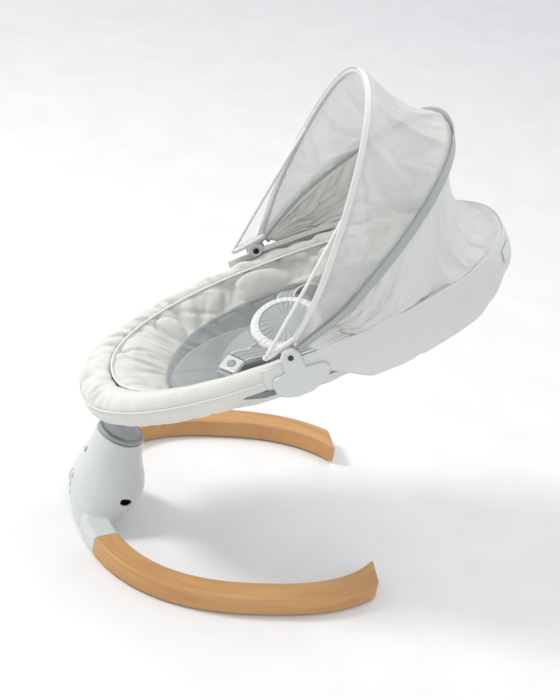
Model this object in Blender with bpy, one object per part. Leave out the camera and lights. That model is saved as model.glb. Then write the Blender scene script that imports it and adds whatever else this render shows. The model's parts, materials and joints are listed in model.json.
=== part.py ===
"""Baby swing: C-shaped wooden base, swivel tower, oval padded seat and two-bow canopy.

Frame: +Z up, +X from the tower towards the open ends of the base and the head of the seat,
origin on the floor under the middle of the tower.  Metres.
"""
import math

import bmesh
import bpy
from mathutils import Matrix, Vector

for ob in list(bpy.data.objects):
    bpy.data.objects.remove(ob, do_unlink=True)

# ------------------------------------------------------------------ driving dimensions
GAP = 0.0003            # gap between touching pieces
RING_R = 0.27           # half length of the base's centre line
RING_B = 0.262          # half width of it
RING_N = 2.48           # superellipse exponent of the base's centre line
JOINT_T = 0.4050        # where housing and wooden arm meet, along the ring
ARM_END_X = 0.472       # the arms are sawn off square to X here
BEAM_W = 0.0450         # beam width at its top
BEAM_DRAFT = 0.0005     # how far the outer side stands out at the bottom
BEAM_LOW = 0.003        # underside of the beam, above the rubber pads
BEAM_TOP = 0.0360
TENON_T = 0.060         # tenon length, in ring angle
WALL = 0.003
TOWER_LEAN = math.radians(13.0)
TOWER_LEN = 0.1642      # along the leaning axis
TOWER_TOP_R = 0.042
SHAFT_R = 0.006
SWING_DEG = 12.0
SEAT_FOOT = Vector((-0.041, 0.0, 0.2438))   # foot end of the seat's rim plane
SEAT_TILT = math.radians(28.1)
SEAT_LEN = 0.751
SEAT_HALF = 0.180       # half width of the rim
SEAT_WIDE_U = 0.36      # where the rim is widest, from the foot end
SEAT_C = 0.40           # middle of the bowl, from the foot end
BOWL_DEPTH = 0.118
TUBE_R = 0.008
TUBE_S = 0.935          # frame tube, as a share of the rim outline
TUBE_HIGH = 0.0005      # frame tube in the rim's channel, from the rim plane
TUBE_N = -0.0250        # frame tube at the hubs and at the foot, below the rim plane
HUB_U = 0.353
HUB_N = 0.0350
HUB = Vector((0.254, 0.0, 0.441))          # canopy pivot axis, along Y
FRONT_BOW = (math.radians(79.0), 0.412, 0.1945, 0.003)    # angle, height, half width, wire radius
REAR_BOW = (math.radians(55.5), 0.408, 0.2008, 0.004)
BOW_N = 2.15
BOW_FLARE = 0.025       # how much narrower the bows stand at their discs than higher up

U = Vector((math.cos(SEAT_TILT), 0, math.sin(SEAT_TILT)))
N = Vector((-math.sin(SEAT_TILT), 0, math.cos(SEAT_TILT)))
AXIS = Vector((math.sin(TOWER_LEAN), 0, math.cos(TOWER_LEAN)))


# ------------------------------------------------------------------ materials
def material(name, rgb, rough, metal=0.0):
    m = bpy.data.materials.get(name)
    if m:
        return m
    m = bpy.data.materials.new(name)
    m.use_nodes = True
    b = m.node_tree.nodes["Principled BSDF"]
    b.inputs["Base Color"].default_value = (*rgb, 1)
    b.inputs["Roughness"].default_value = rough
    b.inputs["Metallic"].default_value = metal
    m.diffuse_color = (*rgb, 1)
    return m


WHITE = ("white_plastic", (0.80, 0.82, 0.82), 0.30)
GREY = ("grey_plastic", (0.52, 0.54, 0.54), 0.42)
DARK = ("dark_plastic", (0.03, 0.03, 0.035), 0.25)
BEECH = ("beech", (0.62, 0.36, 0.16), 0.45)
STEEL = ("steel", (0.60, 0.62, 0.64), 0.30, 1.0)
TUBE = ("grey_enamel", (0.42, 0.47, 0.49), 0.35, 0.5)
RUBBER = ("rubber", (0.10, 0.10, 0.10), 0.85)
COPPER = ("copper", (0.72, 0.38, 0.20), 0.35, 1.0)
BRASS = ("bronze", (0.60, 0.45, 0.22), 0.4, 1.0)
BOARD = ("board_green", (0.05, 0.25, 0.12), 0.5)
CLOTH = ("white_cloth", (0.86, 0.85, 0.80), 0.85)
PADDED = ("white_padding", (0.84, 0.83, 0.78), 0.8)
VELOUR = ("grey_velour", (0.42, 0.43, 0.44), 0.95)
MESH = ("grey_mesh", (0.66, 0.68, 0.68), 0.9)
WEB = ("grey_webbing", (0.60, 0.61, 0.61), 0.85)
GAUZE = ("white_gauze", (0.90, 0.90, 0.87), 0.8)
LABEL = ("pale_label", (0.72, 0.74, 0.75), 0.8)


# ------------------------------------------------------------------ mesh helpers
def finish(bm, name, mat, smooth=35):
    bmesh.ops.recalc_face_normals(bm, faces=bm.faces)
    if bm.calc_volume(signed=True) < 0:
        bmesh.ops.reverse_faces(bm, faces=bm.faces)
    me = bpy.data.meshes.new(name)
    bm.to_mesh(me)
    bm.free()
    ob = bpy.data.objects.new(name, me)
    bpy.context.scene.collection.objects.link(ob)
    me.materials.append(material(*mat))
    if smooth:
        me.shade_smooth()
        me.set_sharp_from_angle(angle=math.radians(smooth))
    return ob


def loft(rings, name, mat, loop=False, bm=None, smooth=35):
    """Skin between rings of equal count; capped at both ends, or joined into a loop."""
    own = bm is None
    bm = bm or bmesh.new()
    rows = [[bm.verts.new(p) for p in r] for r in rings]
    pairs = list(zip(rows, rows[1:])) + ([(rows[-1], rows[0])] if loop else [])
    n = len(rows[0])
    for a, b in pairs:
        for i in range(n):
            bm.faces.new((a[i], a[(i + 1) % n], b[(i + 1) % n], b[i]))
    if not loop:
        bm.faces.new(list(reversed(rows[0])))
        bm.faces.new(rows[-1])
    return finish(bm, name, mat, smooth) if own else bm


def circle(c, e1, e2, r, n, r2=None):
    r2 = r if r2 is None else r2
    return [c + e1 * (r * math.cos(2 * math.pi * i / n)) + e2 * (r2 * math.sin(2 * math.pi * i / n)) for i in range(n)]


def tube_rings(path, r, n=10, up=Vector((0, 0, 1)), r2=None):
    rings = []
    last = None
    for i, p in enumerate(path):
        t = (path[min(i + 1, len(path) - 1)] - path[max(i - 1, 0)]).normalized()
        if last is None:
            e1 = t.cross(up)
            if e1.length < 1e-3:
                e1 = t.cross(Vector((1, 0, 0)))
        else:
            e1 = last - t * last.dot(t)
        e1.normalize()
        last = e1
        rings.append(circle(p, e1, t.cross(e1), r, n, r2))
    return rings


def turned(profile, name, mat, origin, axis, n=24, smooth=35, hole=False):
    """Turned solid: profile is (radius, height) pairs along axis; hole joins the last point to the first."""
    axis = axis.normalized()
    e1 = axis.orthogonal().normalized() if abs(axis.y) > 0.5 else Vector((0, 1, 0)).cross(axis).normalized()
    e2 = axis.cross(e1)
    rings = [circle(origin + axis * h, e1, e2, r, n) for r, h in profile]
    return loft(rings, name, mat, loop=hole, smooth=smooth)


def box(name, mat, centre, size, bevel=0.0, frame=None, segments=2):
    """Box of size along frame's three directions, about centre."""
    bm = bmesh.new()
    bmesh.ops.create_cube(bm, size=1)
    bmesh.ops.scale(bm, vec=size, verts=bm.verts)
    if bevel:
        bmesh.ops.bevel(bm, geom=bm.edges[:] + bm.verts[:], offset=bevel, segments=segments, profile=0.5, affect="EDGES")
    fr = frame or (Vector((1, 0, 0)), Vector((0, 1, 0)), Vector((0, 0, 1)))
    m = Matrix(((fr[0].x, fr[1].x, fr[2].x), (fr[0].y, fr[1].y, fr[2].y), (fr[0].z, fr[1].z, fr[2].z))).to_4x4()
    m.translation = centre
    bmesh.ops.transform(bm, matrix=m, verts=bm.verts)
    return finish(bm, name, mat)


def guide(ob):
    ob.hide_render = True
    ob.display_type = "WIRE"
    return ob


def boolean(ob, other, how="DIFFERENCE"):
    m = ob.modifiers.new(other.name[:40], "BOOLEAN")
    m.object = guide(other)
    m.operation = how
    m.solver = "EXACT"
    return ob


def set_origin(ob, p):
    ob.data.transform(Matrix.Translation(-p))
    ob.location = p


# ------------------------------------------------------------------ base ring
def ring_point(t):
    c, s = math.cos(t), math.sin(t)
    p = 2 / RING_N
    return Vector((RING_R - RING_R * math.copysign(abs(c) ** p, c), RING_B * math.copysign(abs(s) ** p, s), 0))


def ring_frame(t):
    d = 1e-3
    tan = (ring_point(t + d) - ring_point(t - d)).normalized()
    out = Vector((-tan.y, tan.x, 0))
    if out.dot(ring_point(t) - Vector((RING_R, 0, 0))) < 0:
        out = -out
    return ring_point(t), tan, out


def beam_profile(inset=0.0, low=BEAM_LOW, top=BEAM_TOP, rt=0.007, rb=0.003):
    """Beam section as (outward, height) pairs, outer side leaning out towards the floor."""
    h = BEAM_W / 2 - inset
    corners = [(-h, low, rb), (h + BEAM_DRAFT, low, rb), (h, top, rt), (-h, top, rt)]
    pts = []
    for i, (x, z, r) in enumerate(corners):
        a = Vector((corners[i - 1][0] - x, corners[i - 1][1] - z)).normalized()
        b = Vector((corners[(i + 1) % 4][0] - x, corners[(i + 1) % 4][1] - z)).normalized()
        r = max(r - inset, 0.0008)
        for k in range(3):
            w = k / 2
            p = Vector((x, z)) + a * r * (1 - w) ** 2 + b * r * w ** 2
            pts.append((p.x, p.y))
    return pts


def cut_t(offset, x):
    """Ring angle at which the line offset from the centre line reaches x."""
    lo, hi = 1.6, 2.9
    for _ in range(40):
        m = (lo + hi) / 2
        p, tan, out = ring_frame(m)
        if (p + out * offset).x < x:
            lo = m
        else:
            hi = m
    return lo


def beam_rings(t0, t1, n, profile, side=1):
    """Sections along the ring from t0 to t1; with t1 None each line ends square at ARM_END_X."""
    rings = []
    ends = [t1 if t1 is not None else cut_t(o, ARM_END_X) for o, z in profile]
    for i in range(n + 1):
        ring = []
        for (o, z), end in zip(profile, ends):
            p, tan, out = ring_frame(t0 + (end - t0) * i / n)
            ring.append(Vector(((p + out * o).x, side * (p + out * o).y, z)))
        rings.append(ring)
    return rings


def square_rings(t0, t1, n, half, low, top, side=1):
    return beam_rings(t0, t1, n, [(-half, low), (half, low), (half, top), (-half, top)], side)


TENON_HALF, TENON_LOW, TENON_TOP = 0.0145, 0.0090, 0.0295
for name, side in (("arm_left", 1), ("arm_right", -1)):
    main = beam_rings(JOINT_T + 0.001, None, 20, beam_profile(), side)
    arm = loft(main, name, BEECH)
    tenon = loft(square_rings(JOINT_T - TENON_T, JOINT_T + 0.05, 3, TENON_HALF, TENON_LOW, TENON_TOP, side), name + "_tenon", BEECH)
    boolean(arm, tenon, "UNION")
    c = ring_point(JOINT_T - 0.042)
    boolean(arm, turned([(0.0028, 0.0), (0.0028, 0.024)], f"{name}_bore", BEECH, Vector((c.x, side * c.y, 0.0)), Vector((0, 0, 1)), n=10))


# ------------------------------------------------------------------ tower shell
def lerp_table(table, v):
    for a, b in zip(table, table[1:]):
        if v <= b[0]:
            w = (v - a[0]) / (b[0] - a[0])
            w = w * w * (3 - 2 * w) if len(table) < 3 else w
            return [p + (q - p) * w for p, q in zip(a[1:], b[1:])]
    return list(table[-1][1:])


# height share, centre offset from the leaning axis, half size along X, half size along Y
TOWER = [
    (0.00, 0.004, 0.031, 0.080),
    (0.10, 0.004, 0.038, 0.081),
    (0.21, 0.006, 0.050, 0.080),
    (0.31, 0.010, 0.060, 0.077),
    (0.40, 0.012, 0.063, 0.072),
    (0.50, 0.012, 0.061, 0.066),
    (0.62, 0.010, 0.056, 0.058),
    (0.80, 0.004, 0.048, 0.048),
    (1.00, 0.000, 0.042, 0.042),
]


def tower_rings(inset=0.0, low=BEAM_LOW, top=None, n=28):
    """Rings up the tower, level at the floor and square to the leaning axis at the top."""
    rings = []
    top = TOWER_LEN if top is None else top
    steps = 11
    for i in range(steps + 1):
        h = low + (top - low) * i / steps
        share = h / TOWER_LEN
        off, ax, ay = lerp_table(TOWER, share)
        ease = min(1.0, share / 0.85)
        lean = TOWER_LEAN * ease * ease * (3 - 2 * ease)
        e1 = Vector((math.cos(lean), 0, -math.sin(lean)))
        c = AXIS * h + e1 * off
        if i == 0:
            c = Vector((c.x, 0, low))
        k = 2 / (2.5 - 0.5 * min(1, share))
        rings.append([
            c + e1 * ((ax - inset) * math.copysign(abs(math.cos(a)) ** k, math.cos(a)))
            + Vector((0, (ay - inset) * math.copysign(abs(math.sin(a)) ** k, math.sin(a)), 0))
            for a in (2 * math.pi * j / n for j in range(n))
        ])
    return rings


housing = loft(tower_rings(), "base_housing", WHITE)
boolean(housing, loft(beam_rings(-JOINT_T, JOINT_T, 12, beam_profile()), "housing_band", WHITE), "UNION")
boolean(housing, loft(tower_rings(WALL, low=-0.001, top=0.145), "housing_cavity", WHITE))
boolean(housing, loft(square_rings(-JOINT_T + 0.016, JOINT_T - 0.016, 10, BEAM_W / 2 - WALL, -0.001, BEAM_TOP - WALL), "housing_band_cavity", WHITE))
for side in (1, -1):
    t0, t1 = sorted((side * (JOINT_T - TENON_T - 0.004), side * (JOINT_T + 0.02)))
    boolean(housing, loft(square_rings(t0, t1, 3, TENON_HALF + GAP, TENON_LOW - GAP, TENON_TOP + GAP), f"socket_{'right' if side < 0 else 'left'}", WHITE))
boolean(housing, turned([(0.0138, 0.120), (0.0138, 0.180)], "bearing_seat", WHITE, Vector((0, 0, 0)), AXIS, n=28))

# front panel: an oval cut out of the shell and filled flush by the panel
PANEL_N = Vector((-math.cos(math.radians(3)), 0, math.sin(math.radians(3))))
PANEL_UP = Vector((math.sin(math.radians(3)), 0, math.cos(math.radians(3))))
PANEL_C = Vector((-0.0355, 0, 0.052))
Y = Vector((0, 1, 0))


def oval_prism(name, half_w, half_h, depth0, depth1, mat=WHITE, centre=PANEL_C, n=28, up=PANEL_UP, nor=PANEL_N, yd=Y):
    rings = []
    for d in (depth0, depth1):
        ring = []
        for i in range(n):
            a = 2 * math.pi * i / n
            c, s = math.cos(a), math.sin(a)
            ring.append(centre + nor * d + yd * (half_w * math.copysign(abs(c) ** 0.85, c)) + up * (half_h * math.copysign(abs(s) ** 0.85, s)))
        rings.append(ring)
    return loft(rings, name, mat)


boolean(housing, oval_prism("panel_cut", 0.0190, 0.0265, -0.022, 0.030))
panel = oval_prism("control_panel", 0.0190 - GAP, 0.0265 - GAP, -0.020, 0.028, GREY)
boolean(panel, loft(tower_rings(0.0002), "panel_outer", GREY), "INTERSECT")
boolean(panel, loft(tower_rings(WALL, low=-0.001, top=0.150), "panel_inner", GREY))


def surface_x(h, inset=0.0, y=0.0):
    """Front surface of the tower at world height h on the middle plane."""
    rows = tower_rings(inset)
    m = [r[len(r) // 2] for r in rows]
    for a, b in zip(m, m[1:]):
        if a.z <= h <= b.z:
            w = (h - a.z) / (b.z - a.z)
            return a + (b - a) * w
    return m[-1]


BUTTONS = (("power_button", 0.0370, 0.0056), ("speed_button", 0.0525, 0.0050), ("timer_button", 0.0665, 0.0050))
for name, h, r in BUTTONS:
    s = surface_x(h)
    boolean(panel, turned([(r + 0.0005, -0.02), (r + 0.0005, 0.02)], name + "_hole", GREY, s, PANEL_N, n=16))
    b = turned([(r * 0.6, -0.0075), (r, -0.0070), (r, 0.0006), (r - 0.0012, 0.0014), (r * 0.4, 0.0017)], name, WHITE, s, PANEL_N, n=16)
    set_origin(b, s)
# infrared window above the panel
s = surface_x(0.124)
IR_N = Vector((-math.cos(math.radians(20)), 0, math.sin(math.radians(20))))
IR_UP = Vector((math.sin(math.radians(20)), 0, math.cos(math.radians(20))))
boolean(housing, oval_prism("ir_cut", 0.0035, 0.0055, -0.012, 0.008, centre=s, n=14, up=IR_UP, nor=IR_N))
oval_prism("ir_window", 0.0035 - GAP, 0.0055 - GAP, -0.0045, 0.0003, DARK, centre=s, n=14, up=IR_UP, nor=IR_N)

# power inlet in an oval recess on the near side
INLET_C = Vector((0.052, -0.064, 0.062))
INLET_N = Vector((0.42, -0.86, -0.28)).normalized()
IN_UP = (Vector((0.25, 0, 1)) - INLET_N * INLET_N.dot(Vector((0.25, 0, 1)))).normalized()
IN_Y = IN_UP.cross(INLET_N)
boolean(housing, oval_prism("inlet_cut", 0.0115, 0.0060, -0.014, 0.03, centre=INLET_C, n=18, up=IN_UP, nor=INLET_N, yd=IN_Y))
inlet = oval_prism("power_inlet", 0.0115 - GAP, 0.0060 - GAP, -0.0125, -0.0035, DARK, centre=INLET_C, n=18, up=IN_UP, nor=INLET_N, yd=IN_Y)
boolean(inlet, turned([(0.0030, -0.0100), (0.0030, 0.01)], "jack_bore", DARK, INLET_C, INLET_N, n=12))

# bottom cover with its screws, rubber pads
def foot_pad(name, c, r):
    turned([(r - 0.0006, 0.0), (r, 0.0006), (r, BEAM_LOW - GAP)], name, RUBBER, c, Vector((0, 0, 1)), n=14)


cover = loft(square_rings(-JOINT_T + 0.017, JOINT_T - 0.017, 10, BEAM_W / 2 - WALL - GAP, BEAM_LOW, 0.0060), "base_cover", GREY)
boolean(cover, loft([[Vector((p.x, p.y, z)) for p in tower_rings(WALL + GAP)[0]] for z in (BEAM_LOW, 0.0060)], "cover_middle", GREY), "UNION")
SCREWS = [(0.016, 0.058), (0.016, -0.058), (0.030, 0.0)]
for k, (x, y) in enumerate(SCREWS):
    c = Vector((x, y, 0))
    boolean(cover, turned([(0.0018, 0.0), (0.0018, 0.01)], f"screw_hole_{k}", GREY, c, Vector((0, 0, 1)), n=10))
    turned([(0.0033, 0.0008), (0.0035, 0.0012), (0.0035, 0.0027), (0.0014, 0.0027), (0.0014, 0.0120)], f"cover_screw_{k + 1}", STEEL, c, Vector((0, 0, 1)), n=12)
for side, word in ((1, "left"), (-1, "right")):
    c = ring_point(JOINT_T - 0.042)
    c.y *= side
    turned([(0.0042, 0.0067), (0.0045, 0.0070), (0.0045, 0.0086), (0.0024, 0.0086), (0.0024, 0.0220)], f"arm_bolt_{word}", STEEL, c, Vector((0, 0, 1)), n=12)
foot_pad("foot_pad_middle", Vector((0, 0, 0)), 0.011)
for side, word in ((1, "left"), (-1, "right")):
    for t, place in ((0.98, "mid"), (2.22, "end")):
        c = ring_point(t)
        c.y *= side
        foot_pad(f"foot_pad_{place}_{word}", c, 0.010)

# ------------------------------------------------------------------ drive inside the tower
AX1 = Vector((math.cos(TOWER_LEAN), 0, -math.sin(TOWER_LEAN)))


def on_axis(x, h, y=0.0):
    return AXIS * h + AX1 * x + Y * y


shaft = turned([(SHAFT_R - 0.001, 0.050), (SHAFT_R, 0.051), (SHAFT_R, 0.1820), (SHAFT_R - 0.001, 0.1830)], "swing_shaft", STEEL, Vector((0, 0, 0)), AXIS, n=20)
for name, h0, h1, r in (("lower_bearing", 0.0515, 0.0600, 0.0125), ("upper_bearing", 0.1480, 0.1600, 0.0135)):
    turned([(SHAFT_R + GAP, h0), (r, h0), (r, h1), (SHAFT_R + GAP, h1)], name, BRASS, Vector((0, 0, 0)), AXIS, n=20, hole=True)
plate = box("drive_plate", STEEL, on_axis(0.038, 0.0565), (0.124, 0.20, 0.003), frame=(AX1, Y, AXIS))
boolean(plate, loft(tower_rings(WALL + 0.0012, low=0.010, top=0.140), "plate_trim", STEEL), "INTERSECT")
boolean(plate, turned([(0.0128, 0.04), (0.0128, 0.07)], "plate_bore", STEEL, Vector((0, 0, 0)), AXIS, n=24))
turned([(0.0050, 0.0584), (0.0125, 0.0584), (0.0125, 0.0700), (0.0050, 0.0700)], "drive_coil", COPPER, AX1 * 0.032, AXIS, n=20, hole=True)
box("circuit_board", BOARD, PANEL_C - PANEL_N * 0.019, (0.0016, 0.030, 0.048), frame=(PANEL_N, Y, PANEL_UP))
bm = bmesh.new()
loft([circle(on_axis(0, h), AX1, Y, r, 20) for r, h in ((SHAFT_R + GAP, 0.0760), (0.0110, 0.0760), (0.0110, 0.0860), (SHAFT_R + GAP, 0.0860))], "x", STEEL, loop=True, bm=bm)
carrier = finish(bm, "magnet_carrier", GREY)
boolean(carrier, box("carrier_arm", GREY, on_axis(0.0250, 0.0785), (0.0330, 0.016, 0.005), frame=(AX1, Y, AXIS)), "UNION")
turned([(0.0080, 0.0813), (0.0085, 0.0818), (0.0085, 0.0870), (0.0080, 0.0875)], "drive_magnet", STEEL, AX1 * 0.032, AXIS, n=16)

# swivel collar and the bracket that carries the seat
turned([(SHAFT_R + GAP, 0.1652), (0.0385, 0.1652), (0.0405, 0.1668), (0.0405, 0.1705), (0.0385, 0.1725), (SHAFT_R + GAP, 0.1725)], "swivel_collar", GREY, Vector((0, 0, 0)), AXIS, n=24, hole=True)


# ------------------------------------------------------------------ seat outline
def outline(a, s=1.0, n=0.0):
    """Point on the rim's oval: a = 0 at the foot end, pi at the head end, positive towards +Y."""
    c, q = math.cos(a), math.sin(a)
    k = 2 / 2.3
    half = SEAT_WIDE_U if c > 0 else SEAT_LEN - SEAT_WIDE_U
    u = SEAT_WIDE_U - half * math.copysign(abs(c) ** k, c)
    v = SEAT_HALF * math.copysign(abs(q) ** k, q)
    return seat(SEAT_C + (u - SEAT_C) * s, v * s, n)


def seat(u, v, n):
    return SEAT_FOOT + U * u + Y * v + N * n


def ring_solid(name, mat, section, count=44):
    """Ring that follows the rim's oval; section is a list of (share of outline, height)."""
    rings = []
    for i in range(count):
        a = 2 * math.pi * i / count
        rings.append([outline(a, s, n) for s, n in section])
    return loft(rings, name, mat, loop=True, smooth=60)


def frange(a, b, n):
    return [a + (b - a) * i / (n - 1) for i in range(n)]


def hub_angle(u):
    """Angle at which the outline reaches u, on the +Y side."""
    lo, hi = 0.0, math.pi
    for _ in range(50):
        m = (lo + hi) / 2
        if (outline(m, TUBE_S) - SEAT_FOOT).dot(U) < u:
            lo = m
        else:
            hi = m
    return lo


A_FRONT, A_REAR = hub_angle(0.335), hub_angle(0.369)


def ease(v):
    v = min(1.0, max(0.0, v))
    return v * v * (3 - 2 * v)


def front_height(a):
    """The front tube lies low in the saddle and at the hubs, and high in the rim's channel between."""
    return TUBE_N + (TUBE_HIGH - TUBE_N) * ease((abs(a) - 0.38) / 0.30) * ease((A_FRONT - abs(a) - 0.10) / 0.26)


def rear_height(a):
    return TUBE_N + (TUBE_HIGH - TUBE_N) * ease((math.pi - A_REAR - abs(a - math.pi) - 0.10) / 0.26)


front_path = [outline(a, TUBE_S, front_height(a)) for a in frange(-A_FRONT, A_FRONT, 29)]
rear_path = [outline(a, TUBE_S, rear_height(a)) for a in frange(A_REAR, 2 * math.pi - A_REAR, 25)]
loft(tube_rings(front_path, TUBE_R, 8), "frame_tube_front", TUBE)
loft(tube_rings(rear_path, TUBE_R, 8), "frame_tube_rear", TUBE)

# bracket: from the collar up to the front tube, which lies in its saddle
low = circle(on_axis(0, 0.1728), AX1, Y, 0.034, 24)
mid = circle(on_axis(-0.012, 0.1850), AX1, Y, 0.024, 24, 0.036)
top_c = seat(0.0300, 0, TUBE_N - 0.0002)
mid2 = circle(top_c - N * 0.015, U, Y, 0.016, 24, 0.044)
top = circle(top_c, U, Y, 0.015, 24, 0.046)
bracket = loft([low, mid, mid2, top], "seat_bracket", GREY)
boolean(bracket, loft(tube_rings(front_path, TUBE_R + GAP, 8), "saddle_cut", GREY))
boolean(bracket, turned([(SHAFT_R + GAP, 0.170), (SHAFT_R + GAP, 0.1835)], "bracket_bore", GREY, Vector((0, 0, 0)), AXIS, n=20))
clamp_top = [[p + N * 0.0002 for p in circle(top_c + N * 0.0002, U, Y, 0.0148, 24, 0.044)], circle(top_c + N * 0.0100, U, Y, 0.0135, 24, 0.042), circle(top_c + N * 0.0115, U, Y, 0.0120, 24, 0.040)]
clamp = loft(clamp_top, "tube_clamp", GREY)
boolean(clamp, loft(tube_rings(front_path, TUBE_R + GAP, 8), "clamp_cut", GREY))

# hub blocks join the two tubes at both sides; covers carry the canopy pivots
for side, word in ((1, "left"), (-1, "right")):
    block = box(f"hub_block_{word}", GREY, seat(HUB_U, side * 0.1708, TUBE_N - 0.0010), (0.074, 0.0208, 0.0215), bevel=0.003, frame=(U, Y, N), segments=1)
    for path, k in ((front_path, "a"), (rear_path, "b")):
        boolean(block, loft(tube_rings(path, TUBE_R + GAP, 8), f"block_bore_{word}_{k}", GREY))
    shield = [(-0.038, 0.006), (-0.043, -0.006), (-0.041, -0.022), (-0.029, -0.035), (-0.010, -0.041), (0.014, -0.040), (0.034, -0.032), (0.050, -0.018), (0.054, -0.004), (0.046, 0.006), (0.018, 0.009), (0.0155, 0.039), (0.008, 0.049), (-0.008, 0.049), (-0.0155, 0.039), (-0.017, 0.010)]
    rings = []
    for y, sc in ((0.1818, 1.0), (0.1855, 1.0), (0.1875, 0.93)):
        rings.append([seat(HUB_U + du * sc, side * y, dn * sc) for du, dn in shield])
    hub_cover = loft(rings, f"hub_cover_{word}", WHITE, smooth=30)
    hc = Vector((HUB.x, 0, HUB.z))
    boolean(hub_cover, turned([(0.0034, 0.155), (0.0034, 0.205)], f"pin_bore_{word}", WHITE, hc, Vector((0, side, 0)), n=14))
    pin = turned([(0.0052, 0.1616), (0.0056, 0.1630), (0.0030, 0.1630), (0.0030, 0.1879), (0.0048, 0.1879), (0.0048, 0.1890), (0.0040, 0.1898)], f"canopy_pin_{word}", DARK, hc, Vector((0, side, 0)), n=12)
    # canopy discs turn on the pin
    for nm, y0, y1 in ((f"front_bow_disc_{word}", 0.1662, 0.1728), (f"rear_bow_disc_{word}", 0.1734, 0.1812)):
        turned([(0.0034, y0), (0.0118, y0), (0.0128, y0 + 0.001), (0.0128, y1 - 0.001), (0.0118, y1), (0.0034, y1)], nm, WHITE, hc, Vector((0, side, 0)), n=16, hole=True)


# ------------------------------------------------------------------ canopy bows
def bow_point(angle, height, half, a, s=1.0):
    """a runs from 0 at the near leg to pi at the far leg."""
    k = 2 / BOW_N
    c, q = math.cos(a), math.sin(a)
    r = height * abs(q) ** k * s
    v = min(1.0, abs(q) ** k / 0.35)
    half = half - BOW_FLARE * (1 - v * v * (3 - 2 * v))
    return HUB + Vector((r * math.cos(angle), -half * s * math.copysign(abs(c) ** k, c), r * math.sin(angle)))


def bow_path(spec, count, start=0.0140):
    angle, height, half, wire = spec
    lo = math.asin((start / height) ** (BOW_N / 2))
    return [bow_point(angle, height, half, a) for a in frange(lo, math.pi - lo, count)]


loft(tube_rings(bow_path(FRONT_BOW, 27), FRONT_BOW[3], 6, up=Y), "front_bow", STEEL)
loft(tube_rings(bow_path(REAR_BOW, 27), REAR_BOW[3], 6, up=Y), "rear_bow", STEEL)


# ------------------------------------------------------------------ soft parts
# outer rim roll, inner padded ring
def around_tube(*pairs):
    """Section points given outwards and upwards from the tube's middle, as (share of outline, height)."""
    return [(TUBE_S + d / SEAT_HALF, TUBE_HIGH + h) for d, h in pairs]


ring_solid("rim_pad", PADDED, around_tube((0.0130, 0.003), (0.0105, 0.0155), (0.0010, 0.0205), (-0.0105, 0.0165), (-0.0168, 0.003), (-0.0150, -0.0130), (-0.0092, -0.0130), (-0.0092, 0.0040), (-0.0040, 0.0095), (0.0040, 0.0095), (0.0092, 0.0040), (0.0092, -0.0130), (0.0118, -0.0130)), 36)
ring_solid("inner_ring", PADDED, [(0.837, -0.004), (0.833, 0.006), (0.785, -0.004), (0.72, -0.024), (0.675, -0.044), (0.670, -0.056), (0.715, -0.044), (0.775, -0.024), (0.82, -0.011)], 28)


def bowl(name, mat, top_s, depth, thick, rows, power=4, around=28, rim_n=-0.018, k0=0.0):
    """Open bowl of even wall, from share top_s of the outline down to depth at the middle."""
    def pt(a, s, extra):
        q = s / top_s
        return outline(a, s, rim_n - (depth - extra) * (1 - q ** power))
    bm = bmesh.new()
    outer, inner = [], []
    for j in range(rows):
        q = 1 - (j / rows) ** 1.25
        s = top_s * max(q, 0.02)
        outer.append([bm.verts.new(pt(2 * math.pi * i / around, s, 0.0)) for i in range(around)])
    for j in range(rows):
        q = 1 - (j / rows) ** 1.25
        s = (top_s - thick / 0.2) * max(q, 0.02)
        inner.append([bm.verts.new(outline(2 * math.pi * i / around, s, rim_n - (depth - thick) * (1 - (s / (top_s - thick / 0.2)) ** power))) for i in range(around)])
    ob = bm.verts.new(outline(0, 0, rim_n - depth))
    ib = bm.verts.new(outline(0, 0, rim_n - depth + thick))
    for rowset, tip in ((outer, ob), (inner, ib)):
        for r0, r1 in zip(rowset, rowset[1:]):
            for i in range(around):
                bm.faces.new((r0[i], r0[(i + 1) % around], r1[(i + 1) % around], r1[i]))
        last = rowset[-1]
        for i in range(around):
            bm.faces.new((last[i], last[(i + 1) % around], tip))
    for i in range(around):
        bm.faces.new((outer[0][i], outer[0][(i + 1) % around], inner[0][(i + 1) % around], inner[0][i]))
    return finish(bm, name, mat, 60)


bowl("seat_shell", CLOTH, 0.875, BOWL_DEPTH - 0.020, 0.003, 7, power=3, rim_n=-0.020)
bowl("seat_liner", VELOUR, 0.655, 0.058, 0.010, 5, rim_n=-0.046)

# seat pad lying in the liner at the foot side
def liner_n(u, v):
    """Height of the liner's upper face above a point of the seat plane."""
    s = 0.0
    a = math.atan2(v / SEAT_HALF, (SEAT_C - u) / SEAT_C)
    edge = outline(a, 1.0) - SEAT_FOOT
    s = math.hypot(u - SEAT_C, v) / max(math.hypot(edge.dot(U) - SEAT_C, edge.y), 1e-6)
    q = min(s / 0.605, 1.0)
    return -0.046 - 0.048 * (1 - q ** 4)


pad_rows = []
for s, lift in ((0.90, 0.0012), (1.0, 0.0050), (0.92, 0.0100), (0.60, 0.0135), (0.25, 0.0145)):
    row = []
    for i in range(20):
        a = 2 * math.pi * i / 20
        u, v = 0.296 + 0.118 * s * math.cos(a), 0.072 * s * math.sin(a)
        row.append(seat(u, v, liner_n(u, v) + lift + 0.0026))
    pad_rows.append(row)
under = []
for s in (0.30, 0.65):
    row = []
    for i in range(20):
        a = 2 * math.pi * i / 20
        u, v = 0.296 + 0.118 * s * math.cos(a), 0.072 * s * math.sin(a)
        row.append(seat(u, v, liner_n(u, v) + 0.0034))
    under.append(row)
loft(under + pad_rows, "seat_pad", VELOUR, smooth=60)

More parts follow.
